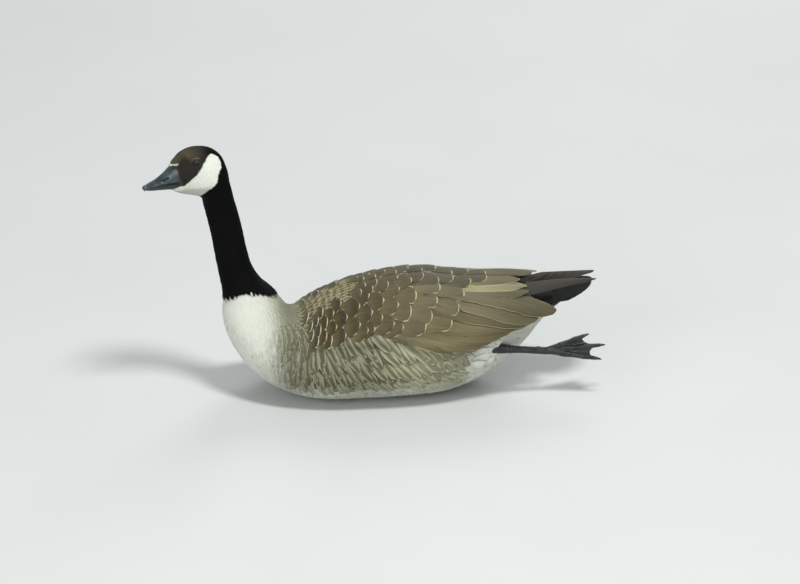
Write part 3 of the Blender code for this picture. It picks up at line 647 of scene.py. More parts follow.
class Finish:
    """A material and the nodes that feed its shader."""

    def __init__(self, name, roughness, **fixed):
        self.material = bpy.data.materials.new(name)
        self.material.use_nodes = True
        self.tree = self.material.node_tree
        self.shader = self.tree.nodes["Principled BSDF"]
        self.shader.inputs["Roughness"].default_value = roughness
        for socket, value in fixed.items():
            self.shader.inputs[socket.replace("_", " ")].default_value = value

    def node(self, kind, settings=(), sockets=(), out=0):
        """A node of this type, its settings made first and then its sockets; returns one output."""
        node = self.tree.nodes.new(kind)
        for key, value in dict(settings).items():
            if key == "stops":
                ramp = node.color_ramp
                while len(ramp.elements) < len(value):
                    ramp.elements.new(0.5)
                for stop, (place, colour) in zip(ramp.elements, value):
                    stop.position, stop.color = place, (*colour, 1)
            else:
                setattr(node, key, value)
        for key, value in dict(sockets).items():
            if isinstance(value, Wire):
                self.tree.links.new(value.socket, node.inputs[key])
            else:
                node.inputs[key].default_value = value
        return Wire(self.tree, node.outputs[out])

    def attribute(self, name, part=None):
        out = {"Color": 0, "Vector": 1, "Fac": 2}["Color" if part is None else "Vector"]
        wire = self.node("ShaderNodeAttribute", {"attribute_name": name}, out=out)
        if part is None:
            return wire
        return self.node("ShaderNodeSeparateXYZ", sockets={0: wire}, out=part)

    def ease(self, value, start, end):
        """0 before start and 1 after end, smooth between."""
        return self.node(
            "ShaderNodeMapRange", {"interpolation_type": "SMOOTHSTEP"}, {0: value, 1: start, 2: end, 3: 0.0, 4: 1.0}
        )

    def mix(self, share, first, second):
        first, second = ((*c, 1) if isinstance(c, tuple) and len(c) == 3 else c for c in (first, second))
        return self.node("ShaderNodeMix", {"data_type": "RGBA"}, {0: share, 6: first, 7: second}, out=2)

    def scaled(self, colour, factor):
        """A colour made lighter or darker by a number."""
        grey = self.node("ShaderNodeCombineXYZ", sockets={0: factor, 1: factor, 2: factor})
        return self.node("ShaderNodeVectorMath", {"operation": "MULTIPLY"}, {0: colour, 1: grey})

    def noise(self, scale, detail=3.0, vector=None, out=0):
        sockets = {"Scale": scale, "Detail": detail}
        sockets["Vector"] = vector or self.node("ShaderNodeTexCoord", out=3)
        return self.node("ShaderNodeTexNoise", sockets=sockets, out=out)

    def bump(self, height, strength, distance):
        normal = self.node("ShaderNodeBump", sockets={"Height": height, "Strength": strength, "Distance": distance})
        self.feed("Normal", normal)

    def feed(self, socket, wire):
        self.tree.links.new(wire.socket, self.shader.inputs[socket])


def vane_finish(name, roughness, shaft, streaks, soft=0.35, sheen=0.04, shine=0.22):
    """Feather vanes: a darker centre, a pale fringe with a soft inner edge, a shaft, fine barbs and a few streaks, and
    painted shade towards the root.
    """
    finish = Finish(name, roughness, Sheen_Weight=sheen, Sheen_Roughness=0.5, Specular_IOR_Level=shine)
    across, along, chance = (finish.attribute("vane", i) for i in range(3))
    side_width, tip_width, bars = (finish.attribute("marks", i) for i in range(3))
    band = finish.attribute("band", 0)
    aside = across.size()
    place = finish.node("ShaderNodeCombineXYZ", sockets={0: across * 9.0, 1: along * 1.6 - aside * 0.8, 2: chance * 37.0})
    streak = finish.noise(1.0, 4.0, place)
    ragged = (streak - 0.5) * (0.3 + soft)
    start = finish.attribute("band", 1)
    by_side = finish.ease((1.0 - aside) / side_width + ragged, 1.0 + soft, 1.0 - soft)
    by_side = by_side * finish.ease(along, start, start + 0.12)
    by_tip = finish.ease((1.0 - along) / tip_width + ragged, 1.0 + soft, 1.0 - soft)
    fringe = by_side.most(by_tip)
    colour = finish.mix(fringe, finish.attribute("centre"), finish.attribute("edge"))
    # Painted shade: each vane darkens towards its root, where the feathers laid over it cover it.
    shade = 1.0 - finish.ease(along, 0.55, 0.0) * (bars * 0.5 + 0.12)
    inside = finish.ease(along, 0.40, 0.86) * (1.0 - fringe) * band
    shade = shade * ((streak - 0.5) * streaks + 1.0) * (1.0 - inside)
    wave = finish.noise(1.0, 2.0, finish.node("ShaderNodeCombineXYZ", sockets={0: along * 7.0 - aside * 2.0, 1: across * 1.2, 2: chance * 11.0}))
    shade = shade * ((wave - 0.5) * bars + 1.0)
    stem = 1.0 - finish.ease(aside, 0.012, 0.050)
    shade = shade * (1.0 + stem * shaft)
    finish.feed("Base Color", finish.scaled(colour, shade))
    barbs = ((along * 150.0 - aside * 70.0).sine() * 0.5 + 0.5) * 0.5 + streak * 0.5 + stem * 0.8
    finish.bump(barbs, 0.28, 0.0012)
    rough = finish.noise(60.0)
    finish.feed("Roughness", (rough - 0.5) * 0.16 + roughness)
    return finish.material


def skin_finish():
    """The skin under the coat, in the coat's own markings."""
    finish = Finish("downy skin", 0.85, Sheen_Weight=0.1, Specular_IOR_Level=0.25)
    down = finish.noise(140.0, 4.0)
    finish.feed("Base Color", finish.scaled(finish.attribute("centre"), (down - 0.5) * 0.3 + 0.9))
    finish.bump(down, 0.4, 0.001)
    return finish.material


def bill_finish(name, colour, roughness, bands):
    """Smooth horn with soft blotches, pores and fine growth lines."""
    finish = Finish(name, roughness, Specular_IOR_Level=0.5)
    blotch = finish.noise(90.0, 3.0)
    pores = finish.noise(900.0, 2.0)
    dark, light = (tuple(c * k for c in colour) for k in (0.6, 1.6))
    finish.feed("Base Color", finish.mix(finish.ease(blotch, 0.3, 0.72), dark, light))
    finish.feed("Roughness", (blotch - 0.5) * 0.3 + roughness)
    stretched = finish.node(
        "ShaderNodeMapping", {}, {0: finish.node("ShaderNodeTexCoord", out=3), 3: (60.0, 500.0, 500.0)}
    )
    lines = finish.noise(1.0, 3.0, stretched)
    finish.bump(lines * bands + pores * 0.35, 0.22, 0.0008)
    return finish.material


def scaled_leg_finish(colour):
    """Leathery black skin of small plates, with painted shade darkening the creases between them."""
    finish = Finish("scaly leg skin", 0.46, Specular_IOR_Level=0.5)
    cells = finish.node("ShaderNodeTexVoronoi", {"feature": "DISTANCE_TO_EDGE"}, {"Scale": 520.0})
    cell_tone = finish.node("ShaderNodeTexVoronoi", {}, {"Scale": 520.0}, out=1)
    tone = finish.node("ShaderNodeSeparateColor", sockets={0: cell_tone})
    crease = finish.ease(cells, 0.0, 0.14)
    wear = finish.noise(70.0, 4.0)
    dark, light = (tuple(c * k for c in colour) for k in (0.55, 1.9))
    base = finish.mix(finish.ease(wear, 0.35, 0.75), dark, light)
    # Painted shade: the colour darkens in the creases between the plates.
    finish.feed("Base Color", finish.scaled(base, (tone * 0.35 + 0.7) * (crease * 0.35 + 0.65)))
    finish.feed("Roughness", wear * 0.35 + 0.12)
    finish.bump(crease * 0.8 + wear * 0.6, 0.5, 0.0006)
    return finish.material


def eye_finish(goose):
    """Dark brown iris round a black pupil under a clear wet front."""
    finish = Finish("wet eye", 0.35, Coat_Weight=1.0, Coat_Roughness=0.02, Coat_IOR=1.6, Specular_IOR_Level=0.0)
    out, turn = finish.attribute("iris", 0), finish.attribute("iris", 1)
    spokes = finish.noise(1.0, 3.0, finish.node("ShaderNodeCombineXYZ", sockets={0: turn * 9.0, 1: out * 2.0}))
    brown = tuple(goose.iris)
    ring = finish.mix(finish.ease(spokes, 0.3, 0.7), tuple(c * 0.45 for c in brown), brown)
    colour = finish.mix(finish.ease(out, 0.36, 0.42), (0.003, 0.003, 0.003), ring)
    colour = finish.mix(finish.ease(out, 0.74, 0.88), colour, (0.008, 0.006, 0.005))
    finish.feed("Base Color", colour)
    return finish.material


# ---- settings ----


def tint(name, description, value):
    return bpy.props.FloatVectorProperty(
        name=name, description=description, subtype="COLOR", size=3, default=value, min=0.0, max=1.0
    )


class GooseSettings(bpy.types.PropertyGroup):
    """Colours and sizes that a user would change."""

    white: tint("White", "Breast, belly and vent", (0.62, 0.635, 0.555))
    cheek: tint("Cheek", "Cheek and chin patch", (0.76, 0.79, 0.70))
    black: tint("Black", "Neck, crown, rump and tail", (0.0034, 0.0036, 0.0034))
    face: tint("Face", "Dark brown of the face and lores", (0.030, 0.027, 0.021))
    forehead: tint("Forehead", "Olive brown of the forehead", (0.102, 0.086, 0.054))
    brown: tint("Mantle brown", "Centres of the feathers of the mantle and wing coverts", (0.100, 0.077, 0.032))
    buff: tint("Buff", "Fringes of the mantle and wing coverts", (0.36, 0.33, 0.185))
    olive: tint("Olive brown", "Centres of the long wing feathers", (0.130, 0.108, 0.052))
    cream: tint("Cream", "Fringes of the flank feathers", (0.39, 0.395, 0.258))
    flank: tint("Flank", "Centres of the flank feathers", (0.140, 0.125, 0.072))
    grey: tint("Breast grey", "Where the breast turns to the flank", (0.205, 0.20, 0.145))
    flight: tint("Flight feathers", "Folded primaries", (0.026, 0.023, 0.015))
    horn: tint("Bill", "Blue-grey black of the bill", (0.0255, 0.0385, 0.0405))
    leg: tint("Leg", "Black of the legs and feet", (0.022, 0.022, 0.024))
    iris: tint("Iris", "Dark brown of the eye", (0.010, 0.005, 0.003))
    neck_pitch: bpy.props.FloatProperty(
        name="Neck feather spacing", description="Distance between the small neck feathers",
        unit="LENGTH", subtype="DISTANCE", default=0.0027, min=0.0015, max=0.006,
    )
    head_pitch: bpy.props.FloatProperty(
        name="Head feather spacing", description="Distance between the small head feathers",
        unit="LENGTH", subtype="DISTANCE", default=0.0016, min=0.001, max=0.004,
    )
    camera_distance: bpy.props.FloatProperty(
        name="Camera distance", description="From the camera to the bird",
        unit="LENGTH", subtype="DISTANCE", default=36.0, min=2.0, max=80.0,
    )
    key_power: bpy.props.FloatProperty(
        name="Key light", description="Power of the large soft light over the bird in watts",
        subtype="POWER", default=150.0, min=0.0, max=5000.0,
    )


class GooseOperator(bpy.types.Operator):
    """Shared by the operators that make the bird's pieces."""

    bl_options = {"REGISTER", "UNDO"}


def ready(piece, slot, *nodes):
    """Lets a finished piece ride on the bird, and hides the solids that it stands for."""
    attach(piece, "root")
    if nodes:
        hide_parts(*nodes)
    return piece


# ---- skin ----


def lid_ring(side, steps=56, sides=10):
    """Points and faces of the eyelids: a soft ring on the eyeball, longer than high, with both corners drawn out."""
    centre = np.array(EYE_CENTRE) * (1, side, 1)
    out = unit(np.array((-0.10, side * 1.0, 0.13)))
    fore = unit(np.cross(out, (0, 0, 1.0)) * -side)
    fore = fore if fore[0] < 0 else -fore
    up = unit(np.cross(fore, out))
    up = up if up[2] > 0 else -up
    a = np.linspace(0, 2 * np.pi, steps, endpoint=False)
    b = np.linspace(0, 2 * np.pi, sides, endpoint=False)
    opening = np.radians(60 + 5 * np.cos(a) ** 4 - 5 * np.clip(np.sin(a), 0, 1) ** 2 - 2 * np.clip(-np.sin(a), 0, 1))
    ring = []
    for turn, lean in zip(a, opening):
        aside = fore * math.cos(turn) * 1.06 + up * math.sin(turn)
        rim = out * math.cos(lean) + aside * math.sin(lean)
        away = -out * math.sin(lean) + aside * math.cos(lean)
        middle = centre + rim * (EYE_RADIUS + 0.02) + away * 0.045
        fat = 0.052 + 0.014 * max(math.sin(turn), 0)
        ring.append(middle + rim * np.cos(b)[:, None] * fat + away * np.sin(b)[:, None] * fat * 1.5)
    points = turned(np.array(ring).reshape(-1, 3))
    i, j = np.meshgrid(np.arange(steps), np.arange(sides), indexing="ij")
    k, m = (i + 1) % steps, (j + 1) % sides
    faces = np.stack([i * sides + j, k * sides + j, k * sides + m, i * sides + m], -1).reshape(-1, 4)
    if side > 0:
        faces = faces[:, ::-1]
    pale = np.clip(np.sin(np.repeat(a, sides)), 0, 1) ** 0.7 * np.clip(np.tile(np.cos(b), steps), 0, 1)
    return points, faces, pale


class GOOSE_OT_skin(GooseOperator):
    """Make the skin: one closed form from bill to tail with its eyelids"""

    bl_idname = "goose.skin"
    bl_label = "Skin and eyelids"

    def execute(self, context):
        goose = context.scene.goose
        rows = np.concatenate([np.linspace(0, 20, 150, endpoint=False), np.linspace(20, BROW, 110)])
        v = np.linspace(-np.pi, np.pi, 132, endpoint=False)
        uu, vv = np.meshgrid(rows, v, indexing="ij")
        points = FORM.at(uu, vv) - FORM.look(FORM.normal, uu, vv) * coat_depth(uu)[..., None]
        points[..., 2] = np.maximum(points[..., 2], 0.28)
        count, around = points.shape[:2]
        i, j = np.meshgrid(np.arange(count - 1), np.arange(around), indexing="ij")
        k = (j + 1) % around
        faces = np.stack([i * around + j, (i + 1) * around + j, (i + 1) * around + k, i * around + k], -1).reshape(-1, 4)
        flat = list(points.reshape(-1, 3))
        ends = []
        for row, flip in ((0, False), (count - 1, True)):
            middle = len(flat)
            flat.append(points[row].mean(0))
            for a in range(0, around, 2):
                quad = [row * around + a, row * around + (a + 1) % around, row * around + (a + 2) % around, middle]
                ends.append(quad[::-1] if flip else quad)
        centre, _ = plumage(goose, uu, vv)
        colours = np.concatenate([centre.reshape(-1, 3), centre[0, :1], centre[-1, :1]])
        faces = np.concatenate([faces, np.array(ends)])
        flat = np.array(flat)
        for side in (-1, 1):
            ring, ring_faces, pale = lid_ring(side)
            faces = np.concatenate([faces, ring_faces + len(flat)])
            flat = np.concatenate([flat, ring])
            lid = mixed(np.array(goose.face) * 0.7, np.array((0.17, 0.14, 0.10)), pale * 0.9)
            colours = np.concatenate([colours, lid])
        skin = mesh_of("body_skin", flat, faces, skin_finish())
        outward(skin)
        write_colour(skin.data, "centre", colours)
        unwrap_skin(skin, (uu, vv), ends)
        ready(skin, "body_feathers", "torso", "neck", "head", "tail", "wing_left", "wing_right")
        return {"FINISHED"}


def outward(made):
    """Turns the faces of closed forms outwards."""
    shape = bmesh.new()
    shape.from_mesh(made.data)
    bmesh.ops.recalc_face_normals(shape, faces=shape.faces)
    shape.to_mesh(made.data)
    shape.free()


def unwrap_skin(skin, grid, ends):
    """The skin's bake map: along the body and round it, with the lids and end caps in a strip beside it."""
    mesh = skin.data
    uu, vv = grid
    count = uu.size
    length = np.concatenate([[0], np.cumsum(np.linalg.norm(np.diff(FORM.at(uu[:, 0], vv[:, 0]), axis=0), axis=1))])
    rows = np.repeat(length / length[-1], uu.shape[1]) * 0.96 + 0.02
    columns = (vv.ravel() + np.pi) / (2 * np.pi) * 0.84 + 0.01
    corners = np.empty(len(mesh.loops), np.int32)
    mesh.loops.foreach_get("vertex_index", corners)
    starts = corners.reshape(-1, 4)
    uv = np.zeros((len(starts), 4, 2))
    body = (starts < count).all(1)
    step = 0.84 / uu.shape[1]
    for k in range(4):
        own = np.minimum(starts[:, k], count - 1)
        uv[:, k, 0], uv[:, k, 1] = columns[own], rows[own]
    low = uv[:, :, 0].min(1)
    wraps = body & (uv[:, :, 0].max(1) - low > 0.4)
    high = uv[wraps, :, 0]
    uv[wraps, :, 0] = np.where(high < 0.4, high + 0.84, high)
    other = np.flatnonzero(~body)
    side = math.ceil(math.sqrt(len(other) * 4))
    for n, face in enumerate(other):
        column, row = n % (side // 4), n // (side // 4)
        corner = np.array([(0, 0), (0.8, 0), (0.8, 0.8), (0, 0.8)])
        size = 0.10 / (side // 4)
        uv[face] = np.array((0.885, 0.02)) + (corner + (column, row)) * (size, min(size, 0.9 / (len(other) / (side // 4) + 1)))
    uv = np.clip(uv, 0.0, 1.0)
    mesh.uv_layers.new(name="OFBake").data.foreach_set("uv", uv.astype(np.float32).ravel())
    return step


# ---- small feathers of the body ----


class GOOSE_OT_body_coat(GooseOperator):
    """Lay the body feathers: breast, belly, flanks, mantle, rump and vent"""

    bl_idname = "goose.body_coat"
    bl_label = "Body feathers"

    def execute(self, context):
        goose = context.scene.goose
        soft = vane_finish("soft body feather", 0.72, 0.04, 0.34, 0.95)
        firm = vane_finish("contour feather", 0.66, 0.10, 0.40, 0.75)
        ready(belly(goose).build("plumage_belly", soft), "body_feathers")
        ready(mantle(goose).build("plumage_mantle", firm), "body_feathers")
        ready(rump(goose).build("plumage_rump", soft), "body_feathers")
        for side, name in ((-1, "left"), (1, "right")):
            ready(breast(goose, side).build(f"plumage_breast_{name}", soft), "body_feathers")
            ready(flank(goose, side).build(f"plumage_flank_{name}", firm), "body_feathers")
        return {"FINISHED"}


def tip_colours(goose, u, v, droop, length):
    """Centre and edge colours of feathers by where their tips lie."""
    lie = lie_of(u, v, np.broadcast_to(droop, len(u)))
    return plumage(goose, *FORM.move(u, v, lie * (np.broadcast_to(length, len(u)) * 0.75)[:, None]))


def body_lot(
    goose, rng, plumes, u, v, droop, length, half, fringe,
    low=-0.33, high=0.03, bars=0.2, dark=0.0, flat=1.0, start=0.15, fade=0.0, even=0.12, **shape,
):
    """Adds one lot of body feathers in the coat's markings.

    flat makes them lie closer, fade draws the centres towards the edges' colour, even is their spread in size.
    """
    count = len(u)
    length = length * rng.uniform(1 - even, 1 + even, count)
    half = half * rng.uniform(1 - even, 1 + even, count)
    roll = rng.normal(0, 0.025 * flat, count)
    high = high + rng.uniform(-0.04, 0.04, count) * flat
    droop = droop + rng.normal(0, 0.55 * even, count)
    centre, edge = tip_colours(goose, u, v, droop, length)
    centre = mixed(centre, edge, np.broadcast_to(fade, count))
    top = lay(u, v, droop, length, half, low, high, roll=roll, cup=0.05 * flat, **shape)
    fringe = fringe * rng.uniform(0.75, 1.25, count)
    place = np.stack([u, v], 1)
    thick = 0.010 + 0.02 * flat
    plumes.add(
        top, shaded(rng, centre, 0.08 * flat), shaded(rng, edge, 0.05 * flat), fringe, place, thick,
        rng.random(count), bars, dark, start,
    )


def breast(goose, side):
    rng = np.random.default_rng(11 + side)
    plumes = Plumes()
    u, v = lattice(rng, (8.9, 15.2), (-np.pi, 0) if side < 0 else (0, np.pi), 0.60, 0.52)
    p = FORM.at(u, v)
    keep = (p[:, 0] < -16.4) | (p[:, 2] < 3.4) & (p[:, 0] < -14.6)
    keep &= (u < neck_border(v) + 0.6) & ((p[:, 0] < -17.5) | (np.abs(v) > 0.75))
    u, v, p = u[keep], v[keep], p[keep]
    size = np.interp(u, [9, 12, 14.5], [1.2, 1.0, 0.75])
    droop = breast_droop(p, v)
    body_lot(
        goose, rng, plumes, u, v, droop, 2.7 * size, 0.46 * size, 0.16, low=-0.15, high=-0.05 * smooth(u - 13.0), shape=ROUND_TIP,
        bars=0.0, rows=7, flat=0.2, press=0.05, fade=0.6 * (1 - smooth((p[:, 0] + 20.5) / 3.5)),
    )
    u, v = lattice(rng, (8.6, 12.6), (-2.3, -0.55) if side < 0 else (0.55, 2.3), 1.5, 0.62)
    p = FORM.at(u, v)
    keep = (p[:, 0] < -14.8) & (p[:, 0] > -25.0) & (p[:, 2] > 1.5) & (p[:, 2] < 14.5)
    u, v, p = u[keep], v[keep], p[keep]
    body_lot(
        goose, rng, plumes, u, v, breast_droop(p, v), 3.8, 0.50, 0.15, low=-0.10, high=0.03, shape=SOFT_TIP,
        bars=0.1, rows=8, flat=0.3, press=0.04, fade=0.45 * (1 - smooth((p[:, 0] + 21.5) / 4)),
    )
    return plumes


def breast_droop(p, v):
    """How far the breast's feathers turn down from the body's length."""
    side = smooth((np.abs(v) - 0.4) / 0.4) * (1 - smooth((np.abs(v) - 2.0) / 0.6))
    return side * np.interp(p[:, 0], [-25, -22.5, -19.5, -17, -15], [0.3, 1.2, 1.8, 1.6, 1.45])


def belly(goose):
    rng = np.random.default_rng(12)
    plumes = Plumes()
    u, v = lattice(rng, (2.2, 10.6), (1.70, 2 * np.pi - 1.70), 0.95, 1.05)
    v = np.where(v > np.pi, v - 2 * np.pi, v)
    p = FORM.at(u, v)
    keep = (p[:, 2] < 6.0) & (p[:, 0] > -15.5)
    u, v = u[keep], v[keep]
    body_lot(goose, rng, plumes, u, v, 0.0, 2.8, 0.80, 0.10, -0.24, 0.0, 0.0, shape=ROUND_TIP, rows=7, flat=0.2, press=0.07)
    return plumes


def mantle(goose):
    rng = np.random.default_rng(13)
    plumes = Plumes()
    u, v = lattice(rng, (5.6, 12.6), (-1.2, 1.2), 1.05, 0.86, 0.14)
    p = FORM.at(u, v)
    phi = np.degrees(folded_angle(p))
    front = p[:, 0] < -7.0 + rng.uniform(-0.4, 0.4, len(u))
    keep = (p[:, 0] < -14.8) & (phi < 32) | front & (phi < 21) | (phi < 3.5)
    keep &= p[:, 0] > -19.5
    u, v, p = u[keep], v[keep], p[keep]
    size = np.interp(p[:, 0], [-18, -12, -6], [0.85, 1.0, 1.3])
    droop = 0.25 * smooth(np.abs(v) / 0.6)
    body_lot(
        goose, rng, plumes, u, v, droop, 2.9 * size, 0.52 * size, np.interp(p[:, 0], [-12, -7.5], [0.34, 0.2]), low=-0.30, high=0.03, shape=STREAK_TIP,
        bars=0.2, dark=0.2, start=0.0, flat=0.4, even=0.08, columns=7, fade=0.1,
    )
    return plumes


def rump(goose):
    rng = np.random.default_rng(14)
    plumes = Plumes()
    u, v = lattice(rng, (0.7, 5.6), (-np.pi, np.pi), 0.85, 0.95)
    p = FORM.at(u, v)
    upper = np.abs(v) < 1.5
    keep = (p[:, 0] > 11.5) | (np.abs(v) > 1.5) & (p[:, 0] > 10.0) & (p[:, 2] < 10.0)
    u, v, upper = u[keep], v[keep], upper[keep]
    length = np.where(upper, 2.6, 3.2) * np.interp(u, [0.5, 3], [1.15, 1.0])
    body_lot(goose, rng, plumes, u, v, 0.0, length, 0.80, 0.10, -0.24, 0.0, 0.0, shape=ROUND_TIP, rows=7, flat=0.2, press=0.07)
    return plumes


def flank(goose, side):
    """Long drooping feathers below the wing, over an under layer of small ones."""
    rng = np.random.default_rng(20 + side)
    plumes = Plumes()
    low, high = (-2.3, -0.75) if side < 0 else (0.75, 2.3)
    u, v = lattice(rng, (4.0, 11.0), (low, high), 0.95, 1.05)
    p = FORM.at(u, v)
    keep = (p[:, 2] < 14.5) & (p[:, 2] > 3.0) & (p[:, 0] > -17.6) & (p[:, 0] < 12.0)
    u, v, p = u[keep], v[keep], p[keep]
    droop = np.interp(p[:, 0], [-18, -15, -5, 12], [1.5, 1.1, 0.8, 0.35])
    fade = np.maximum(0.75 * (1 - smooth((p[:, 2] - 4) / 4)), 1 - smooth((p[:, 0] + 17.5) / 3))
    body_lot(
        goose, rng, plumes, u, v, droop, 2.9, 0.70, 0.08, low=-0.26, high=-0.10, shape=SOFT_TIP, rows=7, flat=0.4,
        press=0.05, fade=fade,
    )
    for z, x_from, x_to, step, length, half, fade in (
        (4.4, -15.0, 8.0, 0.72, 3.7, 0.66, 0.6),
        (6.6, -17.0, 7.4, 0.90, 4.3, 0.60, 0.3),
        (9.2, -18.6, 7.6, 0.95, 5.2, 0.64, 0.05),
        (11.9, -17.9, 8.4, 1.00, 5.8, 0.68, 0.0),
        (14.2, -16.3, -4.0, 1.05, 5.6, 0.70, 0.0),
        (15.7, -15.4, -7.0, 1.05, 5.0, 0.70, 0.0),
    ):
        x = np.arange(x_from, x_to, step)
        x = x + rng.uniform(-0.35, 0.35, len(x))
        spots = np.stack([x, np.full(len(x), side * 11.0), z + rng.uniform(-0.5, 0.5, len(x))], 1)
        u, v = FORM.nearest(spots)
        aside = (np.abs(v) > 0.9) | (x > -15.3)
        x, u, v = x[aside], u[aside], v[aside]
        big = smooth((x + 1.0) / 6.0) * (z > 8)
        ahead = 1 - smooth((x + 17.5) / 3.5)
        droop = np.interp(x, [-18, -15.5, -13, -9, 0, 8], [1.65, 1.5, 1.25, 1.05, 0.85, 0.62])
        body_lot(
            goose, rng, plumes, u, v, droop, length * (1 + 0.05 * big - 0.25 * ahead),
            half * (1 + 0.9 * big - 0.15 * ahead), 0.38 + 0.10 * fade - 0.23 * big, low=-0.20 - 0.2 * big, high=0.06 - 0.04 * ahead + 0.02 * z / 10,
            shape=STREAK_TIP, rows=10, columns=7, bars=0.25, bow=-0.25, dark=0.2, flat=0.6, press=0.03, fade=np.maximum(fade, 0.28 * big),
        )
    if side < 0:
        z, x = (a.ravel() for a in np.meshgrid(np.arange(6.6, 11.0, 0.62), (10.6, 11.9)))
        u, v = FORM.nearest(np.stack([x + 0.3 * (z - 8.5) + rng.uniform(-0.3, 0.3, len(x)), np.full(len(x), -9.0), z], 1))
        body_lot(goose, rng, plumes, u, v, 0.1, 3.0, 0.62, 0.12, low=-0.1, high=0.85, shape=STREAK_TIP, rows=9, flat=0.6, press=0.25)
    return plumes


# ---- wings ----

# Rows of coverts: tip x at the row's top and foot, its bulge, spacing in degrees, half width, length.
COVERT_ROWS = (
    (-14.8, -14.8, 0.9, 15, 1.45, 1.9),
    (-13.8, -13.8, 0.9, 16, 1.55, 2.2),
    (-12.7, -12.8, 1.0, 17, 1.65, 2.6),
    (-11.4, -11.6, 1.0, 18, 1.80, 3.2),
    (-9.7, -10.0, 1.1, 19, 1.95, 3.8),
    (-7.4, -8.2, 1.2, 20, 2.10, 4.4),
    (-5.4, -6.6, 1.1, 20, 2.10, 4.6),
    (-3.2, -5.2, 1.0, 18, 1.95, 5.0),
    (-0.4, -3.2, 0.8, 17, 1.85, 5.8),
    (2.6, -1.2, 0.4, 16, 1.75, 6.4),
    (6.3, 2.7, 0.2, 15, 1.70, 7.4),
    (10.3, 6.3, 0.2, 15, 1.70, 8.0),
)
# The coverts' lower edge: x, degrees.
COVERT_EDGE = np.array([
    (-15.7, 45), (-13.9, 68), (-9.8, 73), (-5.6, 68.5), (-1.9, 70), (3.1, 70), (6.6, 74), (12.0, 76),
])
# Scapulars beside the middle of the back: tip x, degrees, half width, length.
SCAPULARS = (
    (-6.2, 14, 1.25, 3.2), (-5.4, 6, 1.30, 3.4), (-4.4, 13, 1.40, 4.2),
    (-3.6, 5, 1.45, 5.0), (-2.0, 12, 1.50, 5.4), (-0.4, 5, 1.55, 5.8), (1.6, 12, 1.60, 6.2), (3.6, 5, 1.65, 6.6),
    (5.8, 12, 1.70, 7.0), (8.2, 5, 1.70, 7.4), (10.8, 11, 1.70, 7.6), (13.4, 5, 1.60, 7.8),
)
# Secondaries and tertials: root x, root degrees, tip x, tip degrees, half width, paleness, bow.
LONG_FEATHERS = (
    (-1.5, 67, 7.5, 90, 1.2, 0.1, 0), (-0.5, 67, 9.8, 91, 1.25, 0.1, 0), (0.5, 67, 11.8, 90.5, 1.3, 0.05, 0),
    (1.2, 66, 13.4, 88.5, 1.35, 0, 0), (2.0, 66, 15.0, 85.5, 1.4, 0.05, 0), (2.5, 65, 16.5, 82.5, 1.5, 0, 0),
    (3.0, 63, 17.9, 79.5, 1.6, 0, 0), (3.0, 59, 19.0, 79.5, 1.7, 0.05, 0), (3.2, 53, 19.6, 80.5, 1.9, 0, -3),
    (3.3, 44, 19.8, 80, 2.0, 0.05, -8), (3.4, 34, 20.6, 80, 2.1, 0.1, -13), (3.4, 25, 23.5, 77.5, 2.3, 0.1, -18),
    (3.6, 22, 19.4, 34, 1.7, 0.2, 0), (5.5, 16, 19.3, 24, 1.5, 0.55, 0), (3.0, 6, 18.4, 11, 1.9, 0.12, 0),
)
PRIMARY_COUNT = 6
PRIMARY_ROOT, PRIMARY_BEND, PRIMARY_TIP = (11.0, 4.5, 14.4), (20.5, 2.9, 16.75), (30.2, 1.55, 16.95)
PRIMARY_STEP = (-1.35, 0.30, -0.12)
PRIMARY_LEAN, FAR_LEAN = math.radians(22), math.radians(-6)


def wing_blades(side, root, tip, half, heights, shape, rows=12, columns=7, roll=0.06, bow=0.0, ragged=None, sweep=0.05):
    """Upper surfaces of wing feathers, each from root to tip as (x, degrees) places on the folded form."""
    root, tip = np.asarray(root, float), np.asarray(tip, float)
    count = len(root)
    half, roll, bow = (np.broadcast_to(np.asarray(a, float), count) for a in (half, roll, bow))
    t, s = np.linspace(0, 1, rows), np.linspace(-1, 1, columns)
    wide = np.interp(t, shape[:, 0], shape[:, 1])
    radius = 9.5
    ahead = np.stack([tip[:, 0] - root[:, 0], np.radians(tip[:, 1] - root[:, 1]) * radius], 1)
    length = np.linalg.norm(ahead, axis=1)
    ahead = ahead / length[:, None]
    x = root[:, :1] + (tip - root)[:, :1] * t
    phi = np.radians(root[:, 1:] + (tip - root)[:, 1:] * t + bow[:, None] * np.sin(np.pi * t))
    breadth = half[:, None, None] * wide[None, :, None] * s
    if ragged is not None:
        breadth = breadth * (1 + ragged)
    back = sweep * s**2 * (t**2)[:, None] * np.minimum(length, 6.0)[:, None, None]
    xx = x[..., None] - breadth * ahead[:, 1, None, None] - back * ahead[:, 0, None, None]
    pp = phi[..., None] + (breadth * ahead[:, 0, None, None] - back * ahead[:, 1, None, None]) / radius
    pp = np.maximum(pp, np.radians(0.6))
    height = heights[0] + (heights[1] - heights[0]) * np.sin(0.5 * np.pi * t) ** 1.2
    ridge = 0.05 * (1 - np.abs(s)) - 0.03 * s**2
    height = height[None, :, None] + roll[:, None, None] * s + ridge
    top = folded_point(xx, pp, height, float(side))
    return top[:, :, ::-1] if side > 0 else top


def split_edges(rng, count, rows, columns):
    """Small notches and waves along the edges of vanes, where barbs part."""
    wave = rng.normal(0, 0.02, (count, rows, columns))
    notch = np.where(rng.random((count, rows, columns)) < 0.05, -rng.uniform(0.08, 0.22, (count, rows, columns)), 0)
    edge = np.zeros(columns)
    edge[[0, -1]] = 1
    return (wave + notch) * edge


